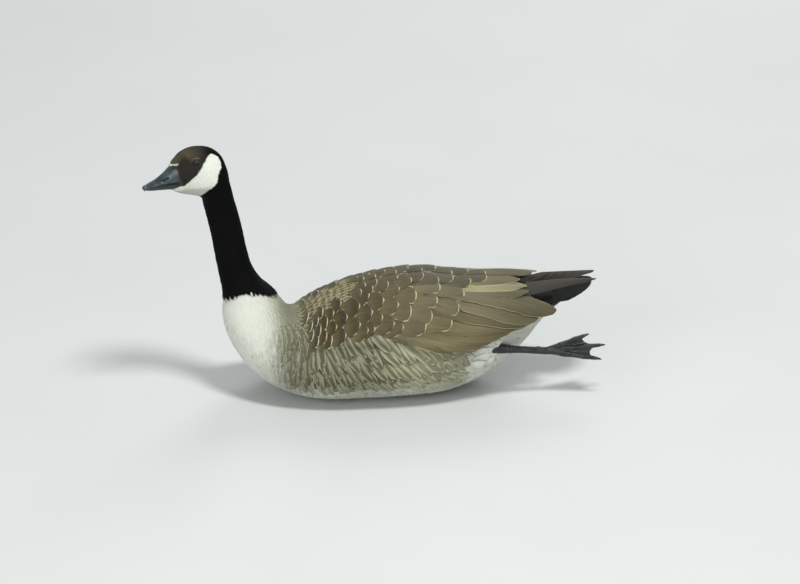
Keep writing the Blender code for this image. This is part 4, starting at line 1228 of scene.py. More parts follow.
def covert_roots(rng):
    """Root, tip and half width of every covert, in rows from the shoulder back."""
    roots, tips, halves = [], [], []
    for row, (top_x, foot_x, bulge, spacing, half, length) in enumerate(COVERT_ROWS):
        for phi in np.arange(22 + spacing * 0.5 * (row % 2), 90.0, spacing):
            part = (phi - 16) / 54
            x = top_x + (foot_x - top_x) * part + bulge * math.sin(math.pi * np.clip(part, 0, 1))
            lowest = np.interp(x, COVERT_EDGE[:, 0], COVERT_EDGE[:, 1]) - 4.8 * half
            if phi > lowest + 0.5 * spacing:
                break
            phi = min(phi, lowest) + rng.uniform(-0.8, 0.8)
            x += rng.uniform(-0.12, 0.12)
            roots.append((max(x - length * rng.uniform(0.95, 1.05), -15.9), phi - 2.0 + (foot_x - top_x) * 0.5))
            tips.append((x, phi))
            halves.append(half * rng.uniform(0.96, 1.04))
    return np.array(roots), np.array(tips), np.array(halves)


def wing(goose, side):
    rng = np.random.default_rng(30 + side)
    plumes = Plumes()
    brown, buff, olive, flight = (np.array(c) for c in (goose.brown, goose.buff, goose.olive, goose.flight))
    cream = np.array(goose.cream)

    def add(root, tip, half, heights, centre, edge, fringe, shape, rows, columns, dark, start, roll=0.06, bow=0.0, sweep=0.05):
        count = len(root)
        top = wing_blades(
            side, root, tip, half, heights, shape, rows, columns, roll + rng.normal(0, 0.012, count), bow,
            split_edges(rng, count, rows, columns), sweep,
        )
        place = np.stack([tip[:, 0], tip[:, 1]], 1)
        plumes.add(
            top, shaded(rng, np.broadcast_to(centre, (count, 3)), 0.10), shaded(rng, np.broadcast_to(edge, (count, 3)), 0.06),
            fringe, place, 0.04, rng.random(count), 0.35, dark, start,
        )

    root, tip, half = covert_roots(rng)
    warm = smooth((tip[:, 0] + 4) / 9)
    dark = 0.62 - 0.42 * smooth((tip[:, 0] + 9) / 12)
    centre = mixed(mixed(brown, cream, 0.25 * (1 - smooth((tip[:, 0] + 15) / 3))), olive, warm)
    edge = mixed(buff, cream, 0.9 * (1 - smooth((tip[:, 0] + 14.2) / 3.0)))
    blunt = (tip[:, 0] < -10.8) | (tip[:, 0] > 0.5)
    for these, shape, sweep in ((~blunt, COVERT_TIP, 0.07), (blunt, SQUARE_TIP, 0.02)):
        add(
            root[these], tip[these], half[these], (-0.55, 0.02), centre[these], edge[these], 0.21, shape, 15, 9,
            dark[these], 0.76, 0.03, sweep=sweep,
        )
    table = np.array(SCAPULARS)
    tip = table[:, 0:2]
    root = tip - np.stack([table[:, 3], np.full(len(table), -0.5)], 1)
    warm = smooth((tip[:, 0] + 2) / 8)
    add(root, tip, table[:, 2], (-0.45, 0.06), mixed(brown, olive * 0.62, warm) * 0.9, buff, 0.17, SQUARE_TIP, 14, 9, 0.3, 0.85, 0.02, sweep=0.03)
    table = np.array(LONG_FEATHERS)
    if side > 0:
        table[table[:, 3] < 25, 2] += 2.2
    dull = np.interp(table[:, 3], [25, 30, 75, 79.6, 84], [0.75 if side > 0 else 1.0, 0.74, 0.84, 1.15, 1.3])
    bowed = table[:, 6] < -5
    dull = np.where(bowed, 0.66, dull)
    add(
        table[:, 0:2], table[:, 2:4], table[:, 4], (-0.27, -0.06),
        mixed(olive * dull[:, None], buff, table[:, 5]), buff, np.where(bowed, 0.06, np.where(dull < 0.9, 0.035, 0.12)), BROAD_TIP, 20, 9, 0.35, 0.3,
        np.where(bowed, 0.32, 0.12), bow=table[:, 6],
    )
    for i in range(PRIMARY_COUNT):
        start = np.array(PRIMARY_ROOT) + (0, 0.10 * i, -0.10 * i)
        bend = np.array(PRIMARY_BEND) + (-0.40 * i, 0.22 * i, -0.10 * i - 0.8 * (1 + side))
        end = np.array(PRIMARY_TIP) + np.array(PRIMARY_STEP) * i
        line = np.array([start, (start + bend) / 2 + (0, 0.2, 0.15), bend, end]) * (1, side, 1)
        blade = free_blade(line, 1.2 if side > 0 else 0.95, -PRIMARY_LEAN if side < 0 else FAR_LEAN, LONG_TIP if side < 0 else BROAD_TIP, 20, 7)
        place = np.array([(26 + i, 100.0)])
        plumes.add(blade[None], flight, flight * 2.0, 0.05, place, 0.045, rng.random(1), 0.2)
    return plumes


def free_blade(line, half, lean, shape, rows, columns, curve=0.05):
    """Upper surface of one feather along a free line, its blade leaned by lean about that line."""
    t, s = np.linspace(0, 1, rows), np.linspace(-1, 1, columns)
    line = through(np.linspace(0, 1, len(line)), np.asarray(line, float), t)
    ahead = unit(np.gradient(line, axis=0))
    level = unit(np.cross(ahead, (0, 0, 1)))
    up = np.cross(level, ahead)
    side = level * math.cos(lean) + up * math.sin(lean)
    normal = np.cross(side, ahead)
    wide = half * np.interp(t, shape[:, 0], shape[:, 1])
    back = 0.35 * s**2 * (t**3)[:, None]
    blade = line[:, None] + side[:, None] * (wide[:, None] * s)[..., None] - ahead[:, None] * back[..., None]
    return blade + normal[:, None] * (curve * (1 - s**2) + 0.03 * (np.abs(s) < 0.05))[:, None]


class GOOSE_OT_wings(GooseOperator):
    """Lay the feathers of both folded wings: coverts, scapulars, tertials, secondaries and primaries"""

    bl_idname = "goose.wings"
    bl_label = "Wing feathers"

    def execute(self, context):
        goose = context.scene.goose
        finish = vane_finish("wing feather", 0.60, 0.26, 0.72)
        for side, name in ((-1, "left"), (1, "right")):
            ready(wing(goose, side).build(f"feathers_wing_{name}", finish), "wing_feathers")
        return {"FINISHED"}


# ---- tail ----

TAIL_PAIRS = 9
TAIL_ROOT_X, TAIL_LENGTH, TAIL_SPREAD = 21.8, 7.9, math.radians(17)


class GOOSE_OT_tail(GooseOperator):
    """Fan the black tail feathers and lay the white coverts over and under their roots"""

    bl_idname = "goose.tail"
    bl_label = "Tail feathers"

    def execute(self, context):
        goose = context.scene.goose
        rng = np.random.default_rng(41)
        plumes = Plumes()
        black = np.array(goose.black)
        for side in (-1, 1):
            for i in range(TAIL_PAIRS):
                turn = side * TAIL_SPREAD * (i + 0.3) / TAIL_PAIRS
                start = np.array([TAIL_ROOT_X, side * (0.15 + 0.25 * i), 14.38 - 0.085 * i + 0.04 * side])
                length = TAIL_LENGTH - 0.045 * i * i
                ahead = np.array([math.cos(turn), math.sin(turn), 0.26])
                line = np.array([start, start + ahead * length * 0.5, start + ahead * length])
                line[1:, 2] -= (0.0, 0.12)
                blade = free_blade(line, 1.15, 0.0, BROAD_TIP, 18, 7)
                place = np.array([(float(i), float(side) * (i + 1))])
                plumes.add(blade[None], black * 1.1, black * 2.2, 0.04, place, 0.045, rng.random(1), 0.2)
        white = np.array(goose.white)
        for upper, z, rows in ((True, 14.7, 2), (False, 12.6, 3)):
            for row in range(rows):
                count = 9 - row // 2
                for i in range(count):
                    part = (i + 0.25 + 0.5 * (row % 2)) / count * 2 - 1
                    turn = part * math.radians(17) + rng.normal(0, 0.03)
                    x = (17.8 if upper else 17.0) + 0.85 * row + rng.uniform(-0.2, 0.2)
                    width = np.interp(x, [18, 25.6], [4.2, 2.2])
                    drop = (1 - math.sqrt(1 - 0.8 * part * part)) * 1.6
                    if upper:
                        start = np.array([x, width * part * 0.7, z + 0.42 - drop + 0.06 * row])
                        ahead = np.array([math.cos(turn), math.sin(turn), 0.03])
                    else:
                        start = np.array([x, width * part * 0.9, z - 2.3 + 0.60 * row + drop * 0.9])
                        ahead = np.array([math.cos(turn), math.sin(turn), 0.50])
                    length = (2.0 if upper else 3.0) * rng.uniform(0.93, 1.07)
                    line = np.array([start, start + ahead * length * 0.5, start + ahead * length])
                    line[2, 2] += -0.1 if upper else 0.15
                    blade = free_blade(line, 0.95, 0.0, SOFT_TIP, 8, 5, 0.12 if upper else -0.12)
                    place = np.array([(20.0 + row + 10 * upper, part)])
                    plumes.add(blade[None], shaded(rng, white[None]), white, 0.05, place, 0.035, rng.random(1), 0.1)
        finish = vane_finish("tail feather", 0.60, 0.25, 0.45, sheen=0.0, shine=0.14)
        ready(plumes.build("feathers_tail", finish), "tail_feathers")
        return {"FINISHED"}


# ---- small feathers of the head and neck ----


def tuft_mesh():
    """One small feather, 1 long and 1 wide, whose tip rises from the skin: a closed blade of ten points."""
    rows = ((0.0, 0.5, 0.0), (0.55, 1.0, 0.16), (1.0, 0.22, 0.10))
    points = [(x, s * w / 2, z - 0.05 * abs(s)) for x, w, z in rows for s in (-1, 0, 1)]
    points.append((0.5, 0.0, 0.02))
    upper = [(0, 3, 4, 1), (1, 4, 5, 2), (3, 6, 7, 4), (4, 7, 8, 5)]
    lower = [(0, 1, 9, 3), (1, 2, 5, 9), (3, 9, 7, 6), (9, 5, 8, 7)]
    mesh = bpy.data.meshes.new("tuft")
    mesh.from_pydata(points, [], [tuple(reversed(f)) for f in upper] + [tuple(reversed(f)) for f in lower])
    write_vector(mesh, "vane", np.array([(2 * p[1], p[0], 0.0) for p in points]))
    sharp = mesh.attributes.new("sharp_edge", "BOOLEAN", "EDGE")
    sharp.data.foreach_set("value", [not {4, 9} & set(edge.vertices) for edge in mesh.edges])
    made = bpy.data.objects.new("tuft", mesh)
    bpy.context.scene.collection.objects.link(made)
    return made


def tuft_tree(tuft):
    """Nodes that stand one tuft on each point, along its lie and on its normal."""
    tree = bpy.data.node_groups.new("small feathers", "GeometryNodeTree")
    face = tree.interface
    face.new_socket("Geometry", in_out="INPUT", socket_type="NodeSocketGeometry")
    length = face.new_socket("Length", in_out="INPUT", socket_type="NodeSocketFloat")
    width = face.new_socket("Width", in_out="INPUT", socket_type="NodeSocketFloat")
    lift = face.new_socket("Lift", in_out="INPUT", socket_type="NodeSocketFloat")
    uneven = face.new_socket("Uneven", in_out="INPUT", socket_type="NodeSocketFloat")
    finish = face.new_socket("Finish", in_out="INPUT", socket_type="NodeSocketMaterial")
    face.new_socket("Geometry", in_out="OUTPUT", socket_type="NodeSocketGeometry")

    def node(kind, sockets=(), **settings):
        made = tree.nodes.new(kind)
        for key, value in settings.items():
            setattr(made, key, value)
        for key, value in dict(sockets).items():
            if isinstance(value, bpy.types.NodeSocket):
                tree.links.new(value, made.inputs[key])
            else:
                made.inputs[key].default_value = value
        return made

    def named(name, kind):
        return node("GeometryNodeInputNamedAttribute", {"Name": name}, data_type=kind).outputs["Attribute"]

    given = node("NodeGroupInput")
    along = node("FunctionNodeAlignRotationToVector", {"Vector": named("lie", "FLOAT_VECTOR")}, axis="X")
    upright = node(
        "FunctionNodeAlignRotationToVector",
        {"Rotation": along.outputs[0], "Vector": named("up", "FLOAT_VECTOR")},
        axis="Z", pivot_axis="X",
    )
    chance = node("FunctionNodeRandomValue", {"Seed": 5}, data_type="FLOAT").outputs[1]
    even = node("ShaderNodeMath", {0: 1.0, 1: given.outputs["Uneven"]}, operation="SUBTRACT")
    more = node("ShaderNodeMath", {0: 1.0, 1: given.outputs["Uneven"]}, operation="ADD")
    tree.links.new(even.outputs[0], chance.node.inputs[2])
    tree.links.new(more.outputs[0], chance.node.inputs[3])
    size = node("ShaderNodeMath", {0: named("size", "FLOAT"), 1: chance}, operation="MULTIPLY")
    parts = [
        node("ShaderNodeMath", {0: size.outputs[0], 1: given.outputs[name]}, operation="MULTIPLY").outputs[0]
        for name in ("Length", "Width", "Lift")
    ]
    scale = node("ShaderNodeCombineXYZ", dict(enumerate(parts)))
    one = node("GeometryNodeObjectInfo", {"Object": tuft})
    stood = node(
        "GeometryNodeInstanceOnPoints",
        {"Points": given.outputs["Geometry"], "Instance": one.outputs["Geometry"], "Rotation": upright.outputs[0], "Scale": scale.outputs[0]},
    )
    whole = node("GeometryNodeRealizeInstances", {"Geometry": stood.outputs[0]})
    painted = node("GeometryNodeSetMaterial", {"Geometry": whole.outputs[0], "Material": given.outputs["Finish"]})
    node("NodeGroupOutput", {0: painted.outputs[0]})
    sockets = {"length": length, "width": width, "lift": lift, "uneven": uneven, "finish": finish}
    return tree, {key: socket.identifier for key, socket in sockets.items()}


def small_feathers(goose, name, u, v, length, width, lift, rng, finish, size=1.0, droop=0.0):
    """A piece of small feathers, stood on points of the skin by geometry nodes."""
    count = len(u)
    normal = FORM.look(FORM.normal, u, v)
    lie = lie_of(u, v, np.broadcast_to(droop, count) + rng.normal(0, 0.10, count))
    depth = coat_depth(u) * 0.9
    points = bpy.data.meshes.new(name + "_points")
    points.from_pydata(to_frame(FORM.at(u, v) - normal * depth[:, None]).tolist(), [], [])
    centre, edge = tip_colours(goose, u, v, droop, length * size)
    lean = unit(lie * math.cos(0.16) + normal * math.sin(0.16))
    write_vector(points, "lie", lean)
    write_vector(points, "up", normal)
    write_colour(points, "centre", shaded(rng, centre, 0.05))
    write_colour(points, "edge", shaded(rng, edge))
    write_vector(points, "marks", np.stack([np.full(count, 0.1), np.full(count, 0.1), np.full(count, 0.1)], 1))
    write_vector(points, "band", np.zeros((count, 3)))
    points.attributes.new("size", "FLOAT", "POINT").data.foreach_set("value", np.broadcast_to(size, count).astype(np.float32))
    cells, patch = bake_cells(np.stack([u, v], 1))
    write_vector(points, "cell", np.concatenate([cells, np.full((count, 1), patch)], 1))
    holder = bpy.data.objects.new(name, points)
    bpy.context.scene.collection.objects.link(holder)
    tuft = tuft_mesh()
    tree, sockets = tuft_tree(tuft)
    modifier = holder.modifiers.new("small feathers", "NODES")
    modifier.node_group = tree
    for key, value in {"length": length * CM, "width": width * CM, "lift": lift * CM, "uneven": 0.18, "finish": finish}.items():
        modifier[sockets[key]] = value
    graph = bpy.context.evaluated_depsgraph_get()
    mesh = bpy.data.meshes.new_from_object(holder.evaluated_get(graph))
    holder.modifiers.clear()
    bpy.data.objects.remove(holder)
    bpy.data.objects.remove(tuft)
    mesh.name = name
    made = bpy.data.objects.new(name, mesh)
    bpy.context.scene.collection.objects.link(made)
    total = len(mesh.vertices)
    vane, cell = np.empty(total * 3, np.float32), np.empty(total * 3, np.float32)
    mesh.attributes["vane"].data.foreach_get("vector", vane)
    mesh.attributes["cell"].data.foreach_get("vector", cell)
    vane, cell = vane.reshape(-1, 3), cell.reshape(-1, 3)
    spots = cell[:, :2] + np.stack([vane[:, 0] * 0.5 + 0.5, vane[:, 1]], 1) * cell[:, 2:]
    corners = np.empty(len(mesh.loops), np.int32)
    mesh.loops.foreach_get("vertex_index", corners)
    for layer in list(mesh.uv_layers):
        mesh.uv_layers.remove(layer)
    mesh.uv_layers.new(name="OFBake").data.foreach_set("uv", spots[corners].astype(np.float32).ravel())
    mesh.polygons.foreach_set("use_smooth", np.ones(len(mesh.polygons), bool))
    return made


class GOOSE_OT_neck_coat(GooseOperator):
    """Stand the small velvety feathers of the head and neck"""

    bl_idname = "goose.neck_coat"
    bl_label = "Head and neck feathers"

    def execute(self, context):
        goose = context.scene.goose
        finish = vane_finish("velvet feather", 0.72, 0.0, 0.16, 0.35, 0.0, 0.05)
        rng = np.random.default_rng(51)
        pitch = goose.neck_pitch / CM
        u, v = lattice(rng, (13.2, 20.9), (-np.pi, np.pi), pitch, pitch * 1.05)
        size = np.interp(u, [13.5, 16, 20.9], [1.5, 1.05, 0.8])
        tip_u, tip_v = FORM.move(u, v, lie_of(u, v, np.zeros(len(u))) * (0.8 * size)[:, None])
        keep = tip_u > neck_border(tip_v) - 0.03
        u, v = u[keep], v[keep]
        size = np.interp(u, [13.5, 16, 20.9], [1.5, 1.05, 0.8])
        ready(small_feathers(goose, "plumage_neck", u, v, 1.05, 0.42, 0.35, rng, finish, size), "neck_feathers")
        pitch = goose.head_pitch / CM
        u, v = lattice(rng, (20.7, BROW), (-np.pi, np.pi), pitch, pitch * 1.1)
        own = FORM.look(FORM.head, u, v)
        eye = np.hypot(own[:, 0] - EYE_CENTRE[0], own[:, 2] - EYE_CENTRE[2])
        keep = (own[:, 0] > bill_border(own[:, 2]) - 0.12 * rng.random(len(u))) & ((eye > 0.66) | (np.abs(own[:, 1]) < 1.2))
        u, v, own, eye = u[keep], v[keep], own[keep], eye[keep]
        size = np.interp(own[:, 0], [-35.5, -33, -29, -26], [0.42, 0.52, 0.85, 1.1])
        size = size * np.interp(eye, [0.5, 1.4], [0.55, 1.0])
        ready(small_feathers(goose, "plumage_head", u, v, 0.62, 0.26, 0.15, rng, finish, size), "neck_feathers")
        return {"FINISHED"}


# ---- eyes ----


class GOOSE_OT_eyes(GooseOperator):
    """Make both eyes: a ball with a slightly raised clear front"""

    bl_idname = "goose.eyes"
    bl_label = "Eyes"

    def execute(self, context):
        goose = context.scene.goose
        finish = eye_finish(goose)
        for side, name in ((-1, "left"), (1, "right")):
            out = unit(np.array((-0.10, side * 1.0, 0.10)))
            fore = unit(np.cross((0, 0, 1.0), out))
            up = np.cross(out, fore)
            lean, turn = np.linspace(0, np.pi, 25), np.linspace(0, 2 * np.pi, 40, endpoint=False)
            a, b = np.meshgrid(lean[1:-1], turn, indexing="ij")
            radius = EYE_RADIUS * (0.985 + 0.075 * np.exp(-((a / 0.62) ** 4)))
            around = fore * np.cos(b)[..., None] + up * np.sin(b)[..., None]
            ball = (out * np.cos(a)[..., None] + around * np.sin(a)[..., None]) * radius[..., None]
            ends = np.array([out * EYE_RADIUS * 1.06, -out * EYE_RADIUS * 0.985])
            points = turned(np.concatenate([ball.reshape(-1, 3), ends]) + np.array(EYE_CENTRE) * (1, side, 1))
            rows, columns = a.shape
            i, j = np.meshgrid(np.arange(rows - 1), np.arange(columns), indexing="ij")
            k = (j + 1) % columns
            faces = np.stack([i * columns + j, i * columns + k, (i + 1) * columns + k, (i + 1) * columns + j], -1)
            faces = faces.reshape(-1, 4).tolist()
            top, foot = rows * columns, rows * columns + 1
            faces += [(top, (j + 1) % columns, j) for j in range(columns)]
            last = (rows - 1) * columns
            faces += [(foot, last + j, last + (j + 1) % columns) for j in range(columns)]
            mesh = bpy.data.meshes.new(f"eyeball_{name}")
            mesh.from_pydata(to_frame(points).tolist(), [], faces)
            mesh.polygons.foreach_set("use_smooth", np.ones(len(mesh.polygons), bool))
            mesh.materials.append(finish)
            made = bpy.data.objects.new(f"eyeball_{name}", mesh)
            bpy.context.scene.collection.objects.link(made)
            outward(made)
            reach = np.concatenate([(a / 0.95).ravel(), (0.0, 3.0)])
            spin = np.concatenate([(b / (2 * np.pi)).ravel(), (0.0, 0.0)])
            write_vector(mesh, "iris", np.stack([reach, spin, spin * 0], 1))
            ready(made, "eye", f"eye_{name}")
        return {"FINISHED"}


# ---- bill ----

UPPER_BILL = np.array([  # culmen x, z, edge x, edge z, half width, shift
    (-35.2, 39.40, -33.95, 36.25, 1.84, -0.28),
    (-36.2, 38.55, -35.0, 36.33, 1.56, -0.40),
    (-37.0, 37.78, -36.45, 36.33, 1.30, -0.52),
    (-38.05, 36.95, -37.9, 36.18, 1.10, -0.52),
    (-39.1, 36.36, -39.1, 36.00, 0.94, -0.45),
    (-39.85, 36.12, -39.75, 35.70, 0.72, -0.35),
    (-40.25, 35.85, -40.15, 35.28, 0.42, 0.00),
])
LOWER_BILL = np.array([
    (-33.95, 36.30, -34.3, 34.95, 1.40, 0.35),
    (-35.3, 36.38, -35.5, 34.98, 1.18, 0.45),
    (-36.9, 36.36, -37.0, 35.10, 1.00, 0.50),
    (-38.1, 36.24, -38.2, 35.16, 0.86, 0.50),
    (-39.1, 36.06, -39.1, 35.22, 0.68, 0.45),
    (-39.9, 35.86, -39.9, 35.35, 0.36, 0.00),
])
NOSTRIL = (-36.98, 37.08)
NOSTRIL_LEAN = math.radians(-30)


def mandible(table, rings=72, around=64):
    """Points and faces of half of the bill, closed at both ends."""
    rows = through(np.arange(len(table)), table, np.linspace(0, len(table) - 1, rings))
    angle = np.broadcast_to(np.linspace(-np.pi, np.pi, around, endpoint=False), (rings, around))
    points = section(rows, angle)
    i, j = np.meshgrid(np.arange(rings - 1), np.arange(around), indexing="ij")
    k = (j + 1) % around
    faces = np.stack([i * around + j, i * around + k, (i + 1) * around + k, (i + 1) * around + j], -1).reshape(-1, 4).tolist()
    first, last = rings * around, rings * around + 1
    ends = np.array([points[0].mean(0), points[-1].mean(0) - (0.10, 0, 0)])
    faces += [(first, (j + 1) % around, j) for j in range(around)]
    faces += [(last, (rings - 1) * around + j, (rings - 1) * around + (j + 1) % around) for j in range(around)]
    return points, ends, faces


def solid_of(name, points, faces, finish):
    mesh = bpy.data.meshes.new(name)
    mesh.from_pydata(to_frame(points).tolist(), [], faces)
    mesh.polygons.foreach_set("use_smooth", np.ones(len(mesh.polygons), bool))
    mesh.materials.append(finish)
    made = bpy.data.objects.new(name, mesh)
    bpy.context.scene.collection.objects.link(made)
    outward(made)
    return made


def with_nostrils(points):
    """Sinks a slot into each side of the upper bill, with a soft raised rim."""
    x, y, z = points[..., 0], points[..., 1], points[..., 2]
    dx, dz = x - NOSTRIL[0], z - NOSTRIL[1]
    along = dx * math.cos(NOSTRIL_LEAN) - dz * math.sin(NOSTRIL_LEAN)
    over = dx * math.sin(NOSTRIL_LEAN) + dz * math.cos(NOSTRIL_LEAN)
    reach = np.hypot(along / 0.80, over / 0.22)
    sink = 0.55 * (1 - smooth((reach - 0.3) / 0.7)) - 0.018 * np.exp(-(((reach - 1.6) / 0.5) ** 2))
    points = points.copy()
    points[..., 1] -= np.sign(y) * sink * (np.abs(y) > 0.25)
    ridge = 0.05 * np.exp(-((y / 0.22) ** 2)) * smooth((z - 36.3) / 0.8)
    points[..., 2] += ridge
    return points


class GOOSE_OT_bill(GooseOperator):
    """Make the bill: both halves with nostrils, the nail, and the comb along its edges"""

    bl_idname = "goose.bill"
    bl_label = "Bill"

    def execute(self, context):
        goose = context.scene.goose
        horn = bill_finish("bill horn", tuple(goose.horn), 0.30, 0.5)
        grid, ends, faces = mandible(UPPER_BILL)
        grid = with_nostrils(grid)
        upper = np.concatenate([grid.reshape(-1, 3), ends])
        ready(solid_of("upper_bill", turned(upper), faces, horn), "bill", "bill_upper")
        grid, ends, faces = mandible(LOWER_BILL)
        lower = np.concatenate([grid.reshape(-1, 3), ends])
        # Painted shade and painted dark reflection: the lower bill takes half the bill's colour, for the shade it lies
        # in under the upper bill.
        under = bill_finish("lower bill horn in painted shade", tuple(c * 0.5 for c in goose.horn), 0.36, 0.5)
        ready(solid_of("lower_bill", turned(lower), faces, under), "bill", "bill_lower")
        self.nail(goose)
        self.comb(horn)
        return {"FINISHED"}

    @staticmethod
    def nail(goose):
        """The hard shield at the tip of the upper bill."""
        a, b = np.meshgrid(np.linspace(0.02, np.pi - 0.02, 22), np.linspace(0, 2 * np.pi, 32, endpoint=False), indexing="ij")
        ball = np.stack([np.cos(a) * 0.42, np.sin(a) * np.cos(b) * 0.42, np.sin(a) * np.sin(b) * 0.30], -1)
        lean = math.radians(-38)
        x = ball[..., 0] * math.cos(lean) + ball[..., 2] * math.sin(lean)
        z = -ball[..., 0] * math.sin(lean) + ball[..., 2] * math.cos(lean)
        grid = np.stack([x - 40.08, ball[..., 1], z + 35.86], -1)
        rows, columns = a.shape
        i, j = np.meshgrid(np.arange(rows - 1), np.arange(columns), indexing="ij")
        k = (j + 1) % columns
        faces = np.stack([i * columns + j, i * columns + k, (i + 1) * columns + k, (i + 1) * columns + j], -1)
        faces = faces.reshape(-1, 4).tolist()
        faces += [tuple(range(columns)), tuple((rows - 1) * columns + j for j in range(columns))]
        finish = bill_finish("bill nail", tuple(c * 1.5 for c in goose.horn), 0.28, 0.2)
        ready(solid_of("bill_nail", turned(grid.reshape(-1, 3)), faces, finish), "bill")

    @staticmethod
    def comb(finish):
        """Fine ridges along both edges of the upper bill, set out on a line by geometry nodes."""
        curve = bpy.data.curves.new("edge", "CURVE")
        curve.dimensions = "3D"
        rows = through(np.arange(len(UPPER_BILL)), UPPER_BILL, np.linspace(1.0, 4.6, 14))
        for side in (-1, 1):
            line = curve.splines.new("POLY")
            line.points.add(len(rows) - 1)
            edge = np.stack([rows[:, 2], side * rows[:, 4] * 0.86, rows[:, 3] + 0.07], 1)
            for point, place in zip(line.points, to_frame(turned(edge))):
                point.co = (*place, 1)
        made = bpy.data.objects.new("bill_comb", curve)
        bpy.context.scene.collection.objects.link(made)
        tree = bpy.data.node_groups.new("comb", "GeometryNodeTree")
        face = tree.interface
        face.new_socket("Geometry", in_out="INPUT", socket_type="NodeSocketGeometry")
        sizes = {
            name: face.new_socket(name, in_out="INPUT", socket_type=f"NodeSocket{kind}").identifier
            for name, kind in (("Spacing", "Float"), ("Height", "Float"), ("Finish", "Material"))
        }
        face.new_socket("Geometry", in_out="OUTPUT", socket_type="NodeSocketGeometry")
        new, link = tree.nodes.new, tree.links.new
        given, leave = new("NodeGroupInput"), new("NodeGroupOutput")
        spots = new("GeometryNodeResampleCurve")
        spots.mode = "LENGTH"
        link(given.outputs["Geometry"], spots.inputs["Curve"])
        link(given.outputs["Spacing"], spots.inputs["Length"])
        ridge = new("GeometryNodeMeshIcoSphere")
        ridge.inputs["Subdivisions"].default_value = 2
        link(given.outputs["Height"], ridge.inputs["Radius"])
        stood = new("GeometryNodeInstanceOnPoints")
        stood.inputs["Scale"].default_value = (0.28, 0.55, 1.0)
        link(spots.outputs[0], stood.inputs["Points"])
        link(ridge.outputs[0], stood.inputs["Instance"])
        whole, painted = new("GeometryNodeRealizeInstances"), new("GeometryNodeSetMaterial")
        link(stood.outputs[0], whole.inputs[0])
        link(whole.outputs[0], painted.inputs["Geometry"])
        link(given.outputs["Finish"], painted.inputs["Material"])
        link(painted.outputs[0], leave.inputs[0])
        modifier = made.modifiers.new("comb", "NODES")
        modifier.node_group = tree
        for name, value in (("Spacing", 0.0011), ("Height", 0.0011), ("Finish", finish)):
            modifier[sizes[name]] = value
        graph = bpy.context.evaluated_depsgraph_get()
        mesh = bpy.data.meshes.new_from_object(made.evaluated_get(graph))
        made.modifiers.clear()
        bpy.data.objects.remove(made)
        comb = bpy.data.objects.new("bill_comb", mesh)
        bpy.context.scene.collection.objects.link(comb)
        ready(comb, "bill")


# ---- legs ----

# Toes from the foot's joint: turn in degrees, towards the bird's middle, and length.
TOES = ((19, 6.6), (1, 8.5), (-16, 7.9))
TOE_RADIUS = 0.46
LEGS = {  # thigh, ankle, foot, heading, pitch, roll, spread, sag
    "left": ((8.5, -6.4, 7.6), (13.2, -7.7, 8.7), (21.8, -6.6, 7.4), 1, 3, 46, 0.9, 0.15),
    "right": ((8.6, 6.6, 4.4), (9.8, 8.2, 1.2), (1.4, 9.2, 0.62), 180, 0, 0, 0.8, 0.26),
}
LEG_RADII = (1.25, 1.2, 1.05, 0.80, 0.55, 0.56, 0.60)


def rolled(points, heading, pitch, roll):
    """Turns points of the foot's own frame: rolls it, tips its toes up, then heads it."""
    x, y, z = np.asarray(points, float).T
    y, z = y * math.cos(roll) - z * math.sin(roll), y * math.sin(roll) + z * math.cos(roll)
    x, z = x * math.cos(pitch) - z * math.sin(pitch), x * math.sin(pitch) + z * math.cos(pitch)
    x, y = x * math.cos(heading) - y * math.sin(heading), x * math.sin(heading) + y * math.cos(heading)
    return np.stack([x, y, z], 1)


def bar(points, radii, sides=18, rings=40):
    """Points and faces of a smooth round bar through points, closed and rounded at both ends."""
    points, radii = np.asarray(points, float), np.asarray(radii, float)
    at = np.linspace(0, 1, len(points))
    t = np.linspace(0, 1, rings)
    line = through(at, points, t)
    radius = np.interp(t, np.linspace(0, 1, len(radii)), radii)
    ahead = unit(np.gradient(line, axis=0))
    side = unit(np.cross(ahead, (0, 0, 1.0)))
    up = np.cross(side, ahead)
    a = np.linspace(0, 2 * np.pi, sides, endpoint=False)
    ring = side[:, None] * np.cos(a)[:, None] + up[:, None] * np.sin(a)[:, None]
    grid = line[:, None] + ring * radius[:, None, None]
    ends = np.array([line[0] - ahead[0] * radius[0] * 0.5, line[-1] + ahead[-1] * radius[-1] * 0.5])
    i, j = np.meshgrid(np.arange(rings - 1), np.arange(sides), indexing="ij")
    k = (j + 1) % sides
    faces = np.stack([i * sides + j, i * sides + k, (i + 1) * sides + k, (i + 1) * sides + j], -1).reshape(-1, 4).tolist()
    first, last = rings * sides, rings * sides + 1
    faces += [(first, (j + 1) % sides, j) for j in range(sides)]
    faces += [(last, (rings - 1) * sides + j, (rings - 1) * sides + (j + 1) % sides) for j in range(sides)]
    return np.concatenate([grid.reshape(-1, 3), ends]), faces


